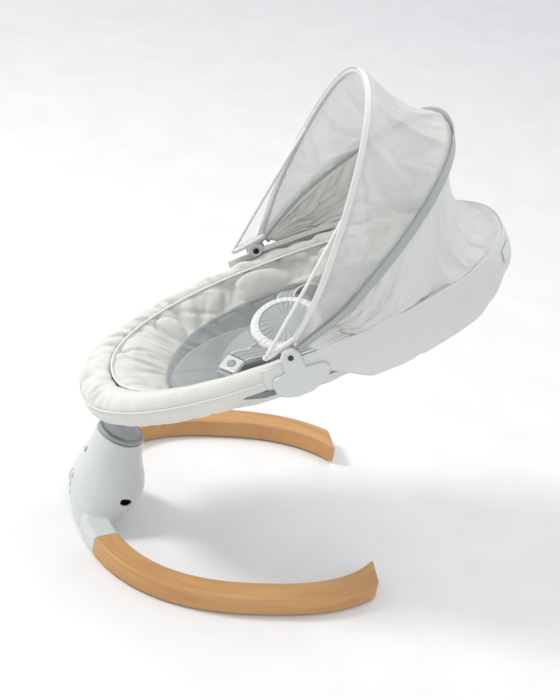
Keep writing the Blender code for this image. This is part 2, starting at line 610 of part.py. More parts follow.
# harness: belly pad, two waist straps, crotch strap, buckle with its button
PAD_C = seat(0.3605, 0.0, -0.023)
PAD_N = Vector((-0.35, -0.25, 0.90)).normalized()
PAD_U = (U - PAD_N * U.dot(PAD_N)).normalized()
PAD_V = PAD_N.cross(PAD_U)
loft([circle(PAD_C + PAD_N * h, PAD_U, PAD_V, r, 28) for r, h in ((0.050, -0.0060), (0.0585, -0.0030), (0.060, 0.0), (0.0585, 0.0035), (0.050, 0.0060), (0.020, 0.0066))], "belly_pad", MESH, smooth=60)


def strap(name, path, width_dir, w, t, mat=WEB):
    """Flat strap: a closed ribbon along path, w wide along width_dir, t thick."""
    rings = []
    for i, p in enumerate(path):
        d = (path[min(i + 1, len(path) - 1)] - path[max(i - 1, 0)]).normalized()
        wd = (width_dir - d * width_dir.dot(d)).normalized()
        nn = d.cross(wd).normalized()
        rings.append([p + wd * a + nn * b for a, b in ((-w / 2, -t / 2), (w / 2, -t / 2), (w / 2, t / 2), (-w / 2, t / 2))])
    return loft(rings, name, mat, smooth=30)


def bezier(p0, p1, p2, p3, n):
    out = []
    for i in range(n):
        t = i / (n - 1)
        out.append(p0 * (1 - t) ** 3 + p1 * 3 * t * (1 - t) ** 2 + p2 * 3 * t * t * (1 - t) + p3 * t ** 3)
    return out


def pad_edge(toward):
    """Point just clear of the pad's rim, in the given direction."""
    d = (toward - PAD_N * toward.dot(PAD_N)).normalized()
    return PAD_C + d * 0.0622, d


a, d = pad_edge(Y * 1.0 + U * 0.2)
end = seat(0.428, 0.0940, -0.0530)
strap("waist_strap_left", bezier(a, a + d * 0.02, end + N * 0.035 - Y * 0.012, end, 9), U, 0.030, 0.004)
BUCK_C = seat(0.255, -0.074, -0.0130)
BUCK_U = (U * 0.72 + Y * 0.69)
BUCK_U = (BUCK_U - PAD_N * BUCK_U.dot(PAD_N)).normalized()
BUCK_V = PAD_N.cross(BUCK_U)
a, d = pad_edge(-U * 0.72 - Y * 0.69)
b = BUCK_C + BUCK_U * 0.0200
strap("waist_strap_right", bezier(a, a + d * 0.012, b + BUCK_U * 0.010, b, 7), BUCK_V, 0.028, 0.004)
b = BUCK_C - BUCK_U * 0.0180
end = seat(0.247, -0.0800, -0.0440)
strap("anchor_strap_right", bezier(b, b - BUCK_U * 0.016, end + N * 0.026 - U * 0.002, end, 8), BUCK_V, 0.028, 0.004)
a, d = pad_edge(-U * 1.0 - Y * 0.12)
crotch_end = seat(0.233, -0.013, liner_n(0.233, -0.013) + 0.0215)
strap("crotch_strap", bezier(crotch_end, crotch_end + N * 0.020 - U * 0.004, a + d * 0.030, a, 9), Y, 0.044, 0.004)
buckle = box("harness_buckle", WHITE, BUCK_C, (0.030, 0.034, 0.0095), bevel=0.0030, frame=(BUCK_U, BUCK_V, PAD_N))
boolean(buckle, turned([(0.0078, -0.0020), (0.0078, 0.02)], "buckle_hole", WHITE, BUCK_C, PAD_N, n=20))
button = turned([(0.0060, -0.0008), (0.0072, -0.0006), (0.0072, 0.0046), (0.0062, 0.0056), (0.0030, 0.0060)], "buckle_button", GREY, BUCK_C, PAD_N, n=20)
set_origin(button, BUCK_C)


# canopy cloth between the bows, and the skirt from the rear bow round the head
def blend_point(w, a, s=1.0, lift=0.0):
    ang = REAR_BOW[0] + (FRONT_BOW[0] - REAR_BOW[0]) * w
    hgt = REAR_BOW[1] + (FRONT_BOW[1] - REAR_BOW[1]) * w
    half = 0.1950 + (0.1890 - 0.1950) * w
    p = bow_point(ang, hgt + lift, half, a, s)
    return p


def sheet_solid(name, mat, outer, inner):
    """Closed shell between two grids of equal size."""
    bm = bmesh.new()
    o = [[bm.verts.new(p) for p in row] for row in outer]
    i_ = [[bm.verts.new(p) for p in row] for row in inner]
    nr, nc = len(o), len(o[0])
    for g in (o, i_):
        for r in range(nr - 1):
            for c in range(nc - 1):
                bm.faces.new((g[r][c], g[r][c + 1], g[r + 1][c + 1], g[r + 1][c]))
    for r in range(nr - 1):
        bm.faces.new((o[r][0], o[r + 1][0], i_[r + 1][0], i_[r][0]))
        bm.faces.new((o[r][-1], o[r + 1][-1], i_[r + 1][-1], i_[r][-1]))
    for c in range(nc - 1):
        bm.faces.new((o[0][c], o[0][c + 1], i_[0][c + 1], i_[0][c]))
        bm.faces.new((o[-1][c], o[-1][c + 1], i_[-1][c + 1], i_[-1][c]))
    return finish(bm, name, mat, 60)


LO = math.asin((0.050 / 0.415) ** (BOW_N / 2))
cols = frange(LO, math.pi - LO, 23)
rows_w = frange(0.075, 0.925, 4)
sheet_solid("canopy_cloth", GAUZE, [[blend_point(w, a) for a in cols] for w in rows_w], [[blend_point(w, a, 0.992) for a in cols] for w in rows_w])


def skirt_point(w, f, inset):
    """w = 0 on the rear bow, 1 at the hem round the rim; f runs from the near hub over the top to the far hub."""
    a = LO * 0.9 + (math.pi - 1.8 * LO) * f
    top = bow_point(REAR_BOW[0] - math.radians(1.6), REAR_BOW[1] - inset, 0.1965 - inset, a)
    g = hub_angle(0.400)
    ang = -g - (2 * math.pi - 2 * g) * f
    hem = outline(ang, 1.012 - inset / 0.2, 0.028)
    c = top * (1 - w) + hem * w
    bulge = (N * -0.013 + U * -0.044) * (4 * w * (1 - w)) * math.sin(math.pi * f) ** 2
    return c + bulge


fs = frange(0.0, 1.0, 23)
ws = frange(0.0, 1.0, 5)
sheet_solid("canopy_skirt", CLOTH, [[skirt_point(w, f, 0.0) for f in fs] for w in ws], [[skirt_point(w, f, 0.003) for f in fs] for w in ws])
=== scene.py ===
"""Looks for the baby swing: quilted seat, canopy, wooden base and moulded tower, on one fixed frame (metres, +Z up)."""

import json
import math

import bmesh
import bpy
import numpy as np
from mathutils import Matrix, Vector, noise


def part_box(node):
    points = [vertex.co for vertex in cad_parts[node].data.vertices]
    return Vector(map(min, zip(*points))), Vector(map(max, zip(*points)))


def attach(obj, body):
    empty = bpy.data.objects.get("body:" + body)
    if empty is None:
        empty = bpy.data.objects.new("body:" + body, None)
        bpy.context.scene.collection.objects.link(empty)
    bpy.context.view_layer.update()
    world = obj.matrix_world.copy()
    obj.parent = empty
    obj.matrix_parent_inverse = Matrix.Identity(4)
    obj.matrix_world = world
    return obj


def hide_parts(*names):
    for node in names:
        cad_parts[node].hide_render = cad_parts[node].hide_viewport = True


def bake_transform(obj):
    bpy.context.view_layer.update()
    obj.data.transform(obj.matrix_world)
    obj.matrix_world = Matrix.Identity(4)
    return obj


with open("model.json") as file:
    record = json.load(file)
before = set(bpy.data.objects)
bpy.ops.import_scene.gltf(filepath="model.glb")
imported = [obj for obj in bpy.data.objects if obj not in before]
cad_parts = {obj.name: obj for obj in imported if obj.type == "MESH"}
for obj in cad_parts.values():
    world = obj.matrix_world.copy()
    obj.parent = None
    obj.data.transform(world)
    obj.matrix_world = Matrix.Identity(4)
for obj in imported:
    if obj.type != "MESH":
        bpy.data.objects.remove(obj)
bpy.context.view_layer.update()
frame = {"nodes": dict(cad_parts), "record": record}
NODES = frame["nodes"]
scene = bpy.context.scene

# ------------------------------------------------------------------ shared dimensions
RING_R, RING_B, RING_N = 0.27, 0.262, 2.48
JOINT_T, ARM_END_X = 0.4050, 0.472
BEAM_W, BEAM_DRAFT, BEAM_LOW, BEAM_TOP = 0.0450, 0.0005, 0.003, 0.0360
TENON_T, TENON_HALF, TENON_LOW, TENON_TOP = 0.060, 0.0145, 0.0090, 0.0295
GAP, WALL = 0.0003, 0.003
TOWER_LEAN, TOWER_LEN = math.radians(13.0), 0.1642
SEAT_FOOT = Vector((-0.041, 0.0, 0.2438))
SEAT_TILT = math.radians(28.1)
SEAT_LEN, SEAT_HALF, SEAT_WIDE_U, SEAT_C = 0.751, 0.180, 0.36, 0.40
TUBE_S = 0.935
HUB = Vector((0.254, 0.0, 0.441))
HUB_U = 0.353
FRONT_BOW = (math.radians(79.0), 0.412, 0.1945, 0.003)
REAR_BOW = (math.radians(55.5), 0.408, 0.2008, 0.004)
BOW_N, BOW_FLARE = 2.15, 0.025
U = Vector((math.cos(SEAT_TILT), 0, math.sin(SEAT_TILT)))
N = Vector((-math.sin(SEAT_TILT), 0, math.cos(SEAT_TILT)))
Y = Vector((0, 1, 0))
AXIS = Vector((math.sin(TOWER_LEAN), 0, math.cos(TOWER_LEAN)))


def sgnpow(x, p):
    return np.sign(x) * np.abs(x) ** p


def seat(u, v, n):
    return SEAT_FOOT + U * u + Y * v + N * n


def outline_uv(a, s):
    """Seat-plane coordinates of the rim's oval (a = 0 at the foot end, pi at the head end, positive towards +Y)."""
    a, s = np.broadcast_arrays(np.asarray(a, float), np.asarray(s, float))
    c, q = np.cos(a), np.sin(a)
    k = 2 / 2.3
    half = np.where(c > 0, SEAT_WIDE_U, SEAT_LEN - SEAT_WIDE_U)
    u = SEAT_WIDE_U - half * sgnpow(c, k)
    v = SEAT_HALF * sgnpow(q, k)
    return SEAT_C + (u - SEAT_C) * s, v * s


def to_world(u, v, n):
    u, v, n = np.broadcast_arrays(np.asarray(u, float), np.asarray(v, float), np.asarray(n, float))
    return np.array(SEAT_FOOT) + u[..., None] * np.array(U) + v[..., None] * np.array(Y) + n[..., None] * np.array(N)


def outline(a, s, n):
    u, v = outline_uv(a, s)
    return to_world(u, v, n)


def ease(x, lo=0.0, hi=1.0):
    t = np.clip((np.asarray(x, float) - lo) / (hi - lo), 0, 1)
    return t * t * (3 - 2 * t)


def angle_at(u, s=1.0):
    lo, hi = 0.0, math.pi
    for _ in range(50):
        m = (lo + hi) / 2
        if float(outline_uv(m, s)[0]) < u:
            lo = m
        else:
            hi = m
    return lo


def bow_points(angle, height, half, a, s=1.0):
    """Points on a bow; a runs from 0 at the near leg to pi at the far leg."""
    angle, height, half, a, s = np.broadcast_arrays(*[np.asarray(x, float) for x in (angle, height, half, a, s)])
    k = 2 / BOW_N
    c, q = np.cos(a), np.sin(a)
    r = height * np.abs(q) ** k * s
    half = half - BOW_FLARE * (1 - ease(np.abs(q) ** k / 0.35))
    out = np.stack([r * np.cos(angle), -half * s * sgnpow(c, k), r * np.sin(angle)], -1)
    return out + np.array(HUB)


# ------------------------------------------------------------------ camera
def make_camera():
    cam = bpy.data.objects.new("camera", bpy.data.cameras.new("camera"))
    scene.collection.objects.link(cam)
    x = Vector((0.97187816, -0.16600881, 0.16701473))
    y = Vector((-0.05664387, 0.5236096, 0.85007321))
    m = Matrix((x, y, x.cross(y))).transposed().to_4x4()
    m.translation = Vector((-0.43304917, -2.62753076, 1.9131249))
    cam.matrix_world = m
    cam.data.sensor_width = 36.0
    cam.data.lens = 1864.97 * 36.0 / 700.0
    cam.data.clip_start, cam.data.clip_end = 0.1, 30
    scene.camera = cam


make_camera()


# ------------------------------------------------------------------ materials
def new_material(name, rgb, rough, metal=0.0, spec=0.5, sheen=0.0, coat=0.0, alpha=1.0):
    m = bpy.data.materials.new(name)
    m.use_nodes = True
    nt = m.node_tree
    b = nt.nodes["Principled BSDF"]
    b.inputs["Base Color"].default_value = (*rgb, 1)
    b.inputs["Roughness"].default_value = rough
    b.inputs["Metallic"].default_value = metal
    b.inputs["Specular IOR Level"].default_value = spec
    b.inputs["Sheen Weight"].default_value = sheen
    b.inputs["Sheen Roughness"].default_value = 0.45
    b.inputs["Coat Weight"].default_value = coat
    b.inputs["Coat Roughness"].default_value = 0.12
    b.inputs["Alpha"].default_value = alpha
    m.diffuse_color = (*rgb, 1)
    return m, nt, b


def coords(nt, scale=(1, 1, 1), kind="Object", rot=(0, 0, 0)):
    tc = nt.nodes.new("ShaderNodeTexCoord")
    mp = nt.nodes.new("ShaderNodeMapping")
    mp.inputs["Scale"].default_value = scale
    mp.inputs["Rotation"].default_value = rot
    nt.links.new(tc.outputs[kind], mp.inputs["Vector"])
    return mp.outputs["Vector"]


def noise_tex(nt, vec, scale, detail=3.0, rough=0.5, dist=0.0):
    n = nt.nodes.new("ShaderNodeTexNoise")
    n.inputs["Scale"].default_value = scale
    n.inputs["Detail"].default_value = detail
    n.inputs["Roughness"].default_value = rough
    n.inputs["Distortion"].default_value = dist
    nt.links.new(vec, n.inputs["Vector"])
    return n.outputs["Fac"]


def wave_tex(nt, vec, scale, axis="X", dist=0.0, detail_scale=1.0):
    w = nt.nodes.new("ShaderNodeTexWave")
    w.bands_direction = axis
    w.inputs["Scale"].default_value = scale
    w.inputs["Distortion"].default_value = dist
    w.inputs["Detail"].default_value = 1.0
    w.inputs["Detail Scale"].default_value = detail_scale
    nt.links.new(vec, w.inputs["Vector"])
    return w.outputs["Fac"]


def math_node(nt, op, a, b):
    n = nt.nodes.new("ShaderNodeMath")
    n.operation = op
    for i, v in enumerate((a, b)):
        if isinstance(v, (int, float)):
            n.inputs[i].default_value = v
        else:
            nt.links.new(v, n.inputs[i])
    return n.outputs[0]


def ramp(nt, fac, stops):
    r = nt.nodes.new("ShaderNodeValToRGB")
    e = r.color_ramp.elements
    while len(e) < len(stops):
        e.new(0.5)
    for el, (p, c) in zip(e, stops):
        el.position = p
        el.color = (*c, 1) if len(c) == 3 else (c[0], c[0], c[0], 1)
    nt.links.new(fac, r.inputs["Fac"])
    return r.outputs["Color"]


def bump(nt, height, strength, distance, normal=None):
    b = nt.nodes.new("ShaderNodeBump")
    b.inputs["Strength"].default_value = strength
    b.inputs["Distance"].default_value = distance
    nt.links.new(height, b.inputs["Height"])
    if normal is not None:
        nt.links.new(normal, b.inputs["Normal"])
    return b.outputs["Normal"]


def vary(rgb, k):
    return tuple(min(1.0, c * k) for c in rgb)


def weave(nt, pitch):
    """Plain weave height from two crossed thread directions, pitch in metres."""
    v = coords(nt, rot=(0.35, 0.5, 0.2))
    k = 1.0 / (pitch * 2 * math.pi) * 2 * math.pi / 20.0 * 20.0 / (2 * math.pi) * 2.0
    a = wave_tex(nt, v, k * 0.5, "X", 0.25, 3)
    b = wave_tex(nt, v, k * 0.5, "Y", 0.25, 3)
    c = wave_tex(nt, v, k * 0.5, "Z", 0.25, 3)
    return math_node(nt, "ADD", math_node(nt, "MULTIPLY", a, b), math_node(nt, "MULTIPLY", c, 0.5))


def cloth_material(name, rgb, rough=0.72, sheen=0.25, pitch=0.0011, weave_strength=0.18, crease=0.25, mottling=0.05, spec=0.3, alpha=1.0, see=0.0, fuzz=0.0):
    m, nt, b = new_material(name, rgb, rough, spec=spec, sheen=sheen, alpha=alpha)
    v = coords(nt)
    big = noise_tex(nt, v, 14.0, 3.0, 0.55)
    nt.links.new(ramp(nt, big, [(0.32, vary(rgb, 1 - mottling)), (0.68, vary(rgb, 1 + mottling * 0.5))]), b.inputs["Base Color"])
    wv = weave(nt, pitch)
    n1 = bump(nt, wv, weave_strength, 0.0006)
    n2 = bump(nt, noise_tex(nt, v, 55.0, 4.0, 0.5, 0.6), crease, 0.004, n1)
    if fuzz:
        n2 = bump(nt, noise_tex(nt, v, 900.0, 2.0, 0.6), fuzz, 0.0012, n2)
    nt.links.new(n2, b.inputs["Normal"])
    r = math_node(nt, "ADD", math_node(nt, "MULTIPLY", noise_tex(nt, v, 40.0, 2.0), 0.16), rough - 0.08)
    nt.links.new(r, b.inputs["Roughness"])
    if see:
        out = nt.nodes["Material Output"]
        tr = nt.nodes.new("ShaderNodeBsdfTranslucent")
        tr.inputs["Color"].default_value = (*rgb, 1)
        nt.links.new(n2, tr.inputs["Normal"])
        mix = nt.nodes.new("ShaderNodeMixShader")
        mix.inputs[0].default_value = see
        nt.links.new(b.outputs[0], mix.inputs[1])
        nt.links.new(tr.outputs[0], mix.inputs[2])
        if alpha < 1:
            b.inputs["Alpha"].default_value = 1.0
            tp = nt.nodes.new("ShaderNodeBsdfTransparent")
            mix2 = nt.nodes.new("ShaderNodeMixShader")
            mix2.inputs[0].default_value = alpha
            nt.links.new(tp.outputs[0], mix2.inputs[1])
            nt.links.new(mix.outputs[0], mix2.inputs[2])
            mix = mix2
        nt.links.new(mix.outputs[0], out.inputs["Surface"])
    return m


def plastic_material(name, rgb, rough=0.3, coat=0.15, grain=0.03):
    m, nt, b = new_material(name, rgb, rough, spec=0.5, coat=coat)
    v = coords(nt)
    nt.links.new(ramp(nt, noise_tex(nt, v, 9.0, 2.0), [(0.3, vary(rgb, 0.975)), (0.7, vary(rgb, 1.015))]), b.inputs["Base Color"])
    nt.links.new(bump(nt, noise_tex(nt, v, 700.0, 2.0), grain, 0.0004), b.inputs["Normal"])
    scuff = math_node(nt, "MULTIPLY", noise_tex(nt, v, 60.0, 5.0, 0.7), 0.14)
    nt.links.new(math_node(nt, "ADD", scuff, rough - 0.07), b.inputs["Roughness"])
    return m


def metal_material(name, rgb, rough, metal=1.0, streak=(30, 30, 600)):
    m, nt, b = new_material(name, rgb, rough, metal=metal)
    v = coords(nt, streak)
    nt.links.new(math_node(nt, "ADD", math_node(nt, "MULTIPLY", noise_tex(nt, v, 1.0, 3.0), 0.2), rough - 0.1), b.inputs["Roughness"])
    nt.links.new(bump(nt, noise_tex(nt, v, 1.0, 2.0), 0.05, 0.0003), b.inputs["Normal"])
    return m


def beech_material():
    """Beech: long fine grain and short dark ray flecks along the beam (UV in metres along and round it)."""
    m, nt, b = new_material("beech_lacquer", (0.56, 0.30, 0.115), 0.42, spec=0.4, coat=0.12)
    uv = nt.nodes.new("ShaderNodeUVMap")
    uv.uv_map = "grain"

    def along(sx, sy):
        mp = nt.nodes.new("ShaderNodeMapping")
        mp.inputs["Scale"].default_value = (sx, sy, 1)
        nt.links.new(uv.outputs["UV"], mp.inputs["Vector"])
        return mp.outputs["Vector"]

    broad = noise_tex(nt, along(5.0, 42.0), 1.0, 4.0, 0.55, 0.5)
    fine = noise_tex(nt, along(22.0, 620.0), 1.0, 3.0, 0.6)
    fleck = nt.nodes.new("ShaderNodeTexVoronoi")
    fleck.inputs["Scale"].default_value = 1.0
    nt.links.new(along(190.0, 900.0), fleck.inputs["Vector"])
    base = ramp(nt, math_node(nt, "ADD", math_node(nt, "MULTIPLY", broad, 0.7), math_node(nt, "MULTIPLY", fine, 0.3)),
                [(0.25, (0.44, 0.215, 0.075)), (0.5, (0.555, 0.295, 0.112)), (0.75, (0.64, 0.37, 0.16))])
    dark = ramp(nt, fleck.outputs["Distance"], [(0.0, (0.72, 0.62, 0.55)), (0.16, (1, 1, 1))])
    mix = nt.nodes.new("ShaderNodeMix")
    mix.data_type = "RGBA"
    mix.blend_type = "MULTIPLY"
    mix.inputs[0].default_value = 0.55
    nt.links.new(base, mix.inputs[6])
    nt.links.new(dark, mix.inputs[7])
    nt.links.new(mix.outputs[2], b.inputs["Base Color"])
    nt.links.new(bump(nt, fine, 0.08, 0.0004), b.inputs["Normal"])
    nt.links.new(math_node(nt, "ADD", math_node(nt, "MULTIPLY", broad, 0.16), 0.34), b.inputs["Roughness"])
    return m


WHITE_FAB = (0.70, 0.705, 0.655)
M = {
    "pad": cloth_material("quilted_satin", WHITE_FAB, 0.58, 0.3, 0.0011, 0.10, 0.22, 0.03, spec=0.4),
    "shell": cloth_material("seat_cover_cloth", (0.68, 0.685, 0.64), 0.66, 0.2, 0.0012, 0.12, 0.3, 0.04),
    "skirt": cloth_material("skirt_satin", (0.82, 0.83, 0.79), 0.50, 0.3, 0.0010, 0.07, 0.18, 0.02, spec=0.45, see=0.18),
    "gauze": cloth_material("canopy_gauze", (0.84, 0.845, 0.82), 0.62, 0.25, 0.0010, 0.10, 0.25, 0.02, spec=0.35, see=0.35, alpha=0.52),
    "net": cloth_material("side_net", (0.84, 0.84, 0.82), 0.6, 0.1, 0.0014, 0.15, 0.1, 0.02, see=0.3, alpha=0.24),
    "hem": cloth_material("white_binding", (0.78, 0.785, 0.75), 0.55, 0.3, 0.0010, 0.2, 0.05, 0.02, spec=0.4),
    "bind": cloth_material("light_grey_binding", (0.60, 0.62, 0.60), 0.55, 0.3, 0.0012, 0.2, 0.04, 0.04),
    "tape": cloth_material("grey_bow_tape", (0.42, 0.44, 0.43), 0.55, 0.3, 0.0012, 0.25, 0.05, 0.06, spec=0.45),
    "velour": cloth_material("grey_velour", (0.36, 0.375, 0.38), 0.86, 0.55, 0.0014, 0.05, 0.3, 0.10, spec=0.15, fuzz=0.35),
    "mesh": cloth_material("spacer_mesh", (0.40, 0.42, 0.42), 0.8, 0.3, 0.0016, 0.5, 0.12, 0.05),
    "web": cloth_material("strap_cloth", (0.37, 0.39, 0.40), 0.7, 0.35, 0.0014, 0.4, 0.08, 0.05),
    "label": cloth_material("blank_care_label", (0.70, 0.73, 0.74), 0.6, 0.1, 0.0009, 0.1, 0.0, 0.01),
    "stitch": cloth_material("stitch_thread", (0.62, 0.62, 0.57), 0.6, 0.2, 0.0008, 0.2, 0.0, 0.02),
    "white_plastic": plastic_material("tower_plastic", (0.60, 0.625, 0.62), 0.30, 0.25),
    "white_part": plastic_material("white_plastic_part", (0.66, 0.67, 0.66), 0.32, 0.15),
    "grey_plastic": plastic_material("grey_plastic_part", (0.33, 0.35, 0.35), 0.42, 0.05),
    "panel": plastic_material("panel_plastic", (0.50, 0.52, 0.53), 0.22, 0.4),
    "hub": plastic_material("hub_plastic", (0.66, 0.68, 0.67), 0.40, 0.1),
    "dark": plastic_material("dark_plastic_part", (0.02, 0.02, 0.022), 0.25, 0.3),
    "rubber": plastic_material("rubber_pad", (0.05, 0.05, 0.05), 0.8, 0.0, 0.3),
    "steel": metal_material("bright_steel", (0.55, 0.56, 0.58), 0.3),
    "tube": metal_material("tube_enamel", (0.20, 0.245, 0.26), 0.38, 0.35, (40, 40, 40)),
    "copper": metal_material("copper_winding", (0.66, 0.30, 0.14), 0.35, 1.0, (30, 30, 1800)),
    "bronze": metal_material("sintered_bronze", (0.45, 0.32, 0.14), 0.45),
    "board": plastic_material("circuit_board_green", (0.02, 0.14, 0.06), 0.45, 0.2),
    "beech": beech_material(),
}

CAD_LOOK = {
    "white_plastic": "white_part", "grey_plastic": "grey_plastic", "dark_plastic": "dark", "beech": "beech", "steel": "steel",
    "grey_enamel": "tube", "rubber": "rubber", "copper": "copper", "bronze": "bronze", "board_green": "board",
    "white_cloth": "shell", "white_padding": "pad", "grey_velour": "velour", "grey_mesh": "mesh", "grey_webbing": "web", "white_gauze": "gauze",
}
slots = {p["node"]: p["material_slot"] for p in frame["record"]["subparts"]}
for name, ob in NODES.items():
    look = CAD_LOOK[slots[name]]
    if name in ("hub_cover_left", "hub_cover_right"):
        look = "hub"
    if name == "rear_bow":
        look = "tape"
    if name == "front_bow":
        look = "bind"
    if name == "control_panel":
        look = "panel"
    ob.data.materials.clear()
    ob.data.materials.append(M[look])


# ------------------------------------------------------------------ mesh helpers
def add_object(name, verts, faces, mat, smooth=True):
    me = bpy.data.meshes.new(name)
    me.from_pydata([tuple(map(float, v)) for v in verts], [], faces)
    me.update()
    ob = bpy.data.objects.new(name, me)
    scene.collection.objects.link(ob)
    me.materials.append(mat)
    if smooth:
        me.shade_smooth()
    return ob


def fix_normals(ob):
    bm = bmesh.new()
    bm.from_mesh(ob.data)
    bmesh.ops.recalc_face_normals(bm, faces=bm.faces)
    bm.to_mesh(ob.data)
    bm.free()
    return ob


def grid_faces(nr, nc, close_r, close_c, offset=0):
    faces = []
    for r in range(nr if close_r else nr - 1):
        for c in range(nc if close_c else nc - 1):
            r1, c1 = (r + 1) % nr, (c + 1) % nc
            faces.append((offset + r * nc + c, offset + r * nc + c1, offset + r1 * nc + c1, offset + r1 * nc + c))
    return faces


def grid_object(name, P, mat, close_r=False, close_c=False):
    nr, nc = P.shape[:2]
    return add_object(name, P.reshape(-1, 3), grid_faces(nr, nc, close_r, close_c), mat)


def grid_normals(P, close_r=False, close_c=False):
    def diff(A, axis, close):
        if close:
            return np.roll(A, -1, axis) - np.roll(A, 1, axis)
        return np.gradient(A, axis=axis)
    n = np.cross(diff(P, 1, close_c), diff(P, 0, close_r))
    return n / np.maximum(np.linalg.norm(n, axis=-1, keepdims=True), 1e-12)


def apply_modifiers(ob):
    dg = bpy.context.evaluated_depsgraph_get()
    me = bpy.data.meshes.new_from_object(ob.evaluated_get(dg))
    ob.modifiers.clear()
    ob.data = me
    return ob


def solidify(ob, t, offset=-1.0):
    m = ob.modifiers.new("thick", "SOLIDIFY")
    m.thickness = t
    m.offset = offset
    return apply_modifiers(ob)


def subdivide(ob, levels=1):
    m = ob.modifiers.new("sub", "SUBSURF")
    m.levels = m.render_levels = levels
    apply_modifiers(ob)
    ob.data.shade_smooth()
    return ob


def tube(name, path, r, mat, n=10, closed=False, r2=None):
    path = [Vector(p) for p in path]
    rings, last, m = [], None, len(path)
    for i, p in enumerate(path):
        a = path[(i + 1) % m] if closed else path[min(i + 1, m - 1)]
        b = path[(i - 1) % m] if closed else path[max(i - 1, 0)]
        t = (a - b).normalized()
        e = t.orthogonal() if last is None else last - t * last.dot(t)
        e.normalize()
        last = e
        f = t.cross(e)
        k = 1.0
        if not closed and r2 is None:
            d = min(i, m - 1 - i)
            k = (0.62, 0.93)[d] if d < 2 else 1.0
        rings.append([p + e * (r * k * math.cos(2 * math.pi * j / n)) + f * (r * k * math.sin(2 * math.pi * j / n)) for j in range(n)])
    verts = [v for ring in rings for v in ring]
    faces = grid_faces(m, n, closed, True)
    if not closed:
        faces += [tuple(reversed(range(n))), tuple(range((m - 1) * n, m * n))]
    return fix_normals(add_object(name, verts, faces, mat))


def ribbon(name, C, W, T, half_w, thick, mat, crown=0.3, cols=9):
    """Flat band: centres C, width directions W, outward directions T; rounded edges."""
    x = np.linspace(-1, 1, cols)
    prof = [(v, thick * (0.5 + crown * (1 - v * v))) for v in x] + [(v, -thick * 0.5) for v in x[::-1]]
    px = np.array([p[0] for p in prof])
    ph = np.array([p[1] for p in prof])
    half = np.broadcast_to(np.asarray(half_w, float), (len(C),))
    P = C[:, None] + W[:, None] * (px[None, :, None] * half[:, None, None]) + T[:, None] * ph[None, :, None]
    ob = grid_object(name, P, mat, False, True)
    nc = len(prof)
    bm = bmesh.new()
    bm.from_mesh(ob.data)
    bm.verts.ensure_lookup_table()
    bm.faces.new([bm.verts[i] for i in range(nc)])
    bm.faces.new([bm.verts[(len(C) - 1) * nc + i] for i in range(nc)])
    bmesh.ops.recalc_face_normals(bm, faces=bm.faces)
    bm.to_mesh(ob.data)
    bm.free()
    return ob


def fbm(P, scale, seed=0.0, octaves=3):
    flat = P.reshape(-1, 3)
    out = np.array([noise.fractal(Vector((p[0] * scale + seed, p[1] * scale - seed, p[2] * scale + 2 * seed)), 1.0, 2.0, octaves) for p in flat])
    return out.reshape(P.shape[:-1])


def creases(a, t, count, seed, span=(-math.pi, math.pi), width=(0.012, 0.035), reach=0.45, slant=0.12, both=True, period=2 * math.pi):
    """Depth of pulled-in creases that start at a seam (t = 0, and t = 1) and fade inwards; a runs along the seam."""
    g = np.random.default_rng(seed)
    depth = np.zeros(np.broadcast(a, t).shape)
    for i in range(count):
        a0 = span[0] + (span[1] - span[0]) * (i + g.uniform(0.1, 0.9)) / count
        w = g.uniform(*width)
        amp = g.uniform(0.35, 1.0)
        sl = g.uniform(-slant, slant)
        bend = g.uniform(-slant, slant) * 0.6
        rc = reach * g.uniform(0.6, 1.6)
        side = g.integers(0, 2) if both else 0
        tt = t if side == 0 else 1 - t
        d = a - a0 - sl * t - bend * np.sin(t * math.pi)
        if period:
            d = (d + period / 2) % period - period / 2
        depth += amp * np.exp(-(d / w) ** 2) * np.exp(-(tt / rc) ** 2)
    return np.minimum(depth, 1.3)


def simulate(ob, pinned, frames=20, pressure=0.0, gravity=0.0, shrink=0.0, cap=0.012, stiff=8.0, bend=0.4, mass=0.15):
    """Cloth run on the piece, then applied; pinned is a weight for each vertex, and no point moves more than cap."""
    rest = np.array([v.co for v in ob.data.vertices], float)
    vg = ob.vertex_groups.new(name="pin")
    for i, w in enumerate(pinned):
        if w > 0.001:
            vg.add([i], float(w), "REPLACE")
    m = ob.modifiers.new("Cloth", "CLOTH")
    s = m.settings
    s.quality = 4
    s.mass = mass
    s.tension_stiffness = s.compression_stiffness = stiff
    s.shear_stiffness = stiff * 0.6
    s.bending_stiffness = bend
    s.vertex_group_mass = "pin"
    s.shrink_min = shrink
    s.effector_weights.gravity = gravity
    if pressure:
        s.use_pressure = True
        s.uniform_pressure_force = pressure
    m.collision_settings.use_collision = False
    m.point_cache.frame_start, m.point_cache.frame_end = 1, frames
    for f in range(1, frames + 1):
        scene.frame_set(f)
    dg = bpy.context.evaluated_depsgraph_get()
    me = ob.evaluated_get(dg).to_mesh()
    co = np.array([v.co for v in me.vertices], float)
    ob.evaluated_get(dg).to_mesh_clear()
    ob.modifiers.clear()
    ob.vertex_groups.clear()
    d = co - rest
    ln = np.linalg.norm(d, axis=1, keepdims=True)
    d *= np.minimum(1.0, cap / np.maximum(ln, 1e-9))
    ob.data.vertices.foreach_set("co", (rest + d).astype(np.float32).ravel())
    ob.data.update()
    scene.frame_set(1)
    return ob


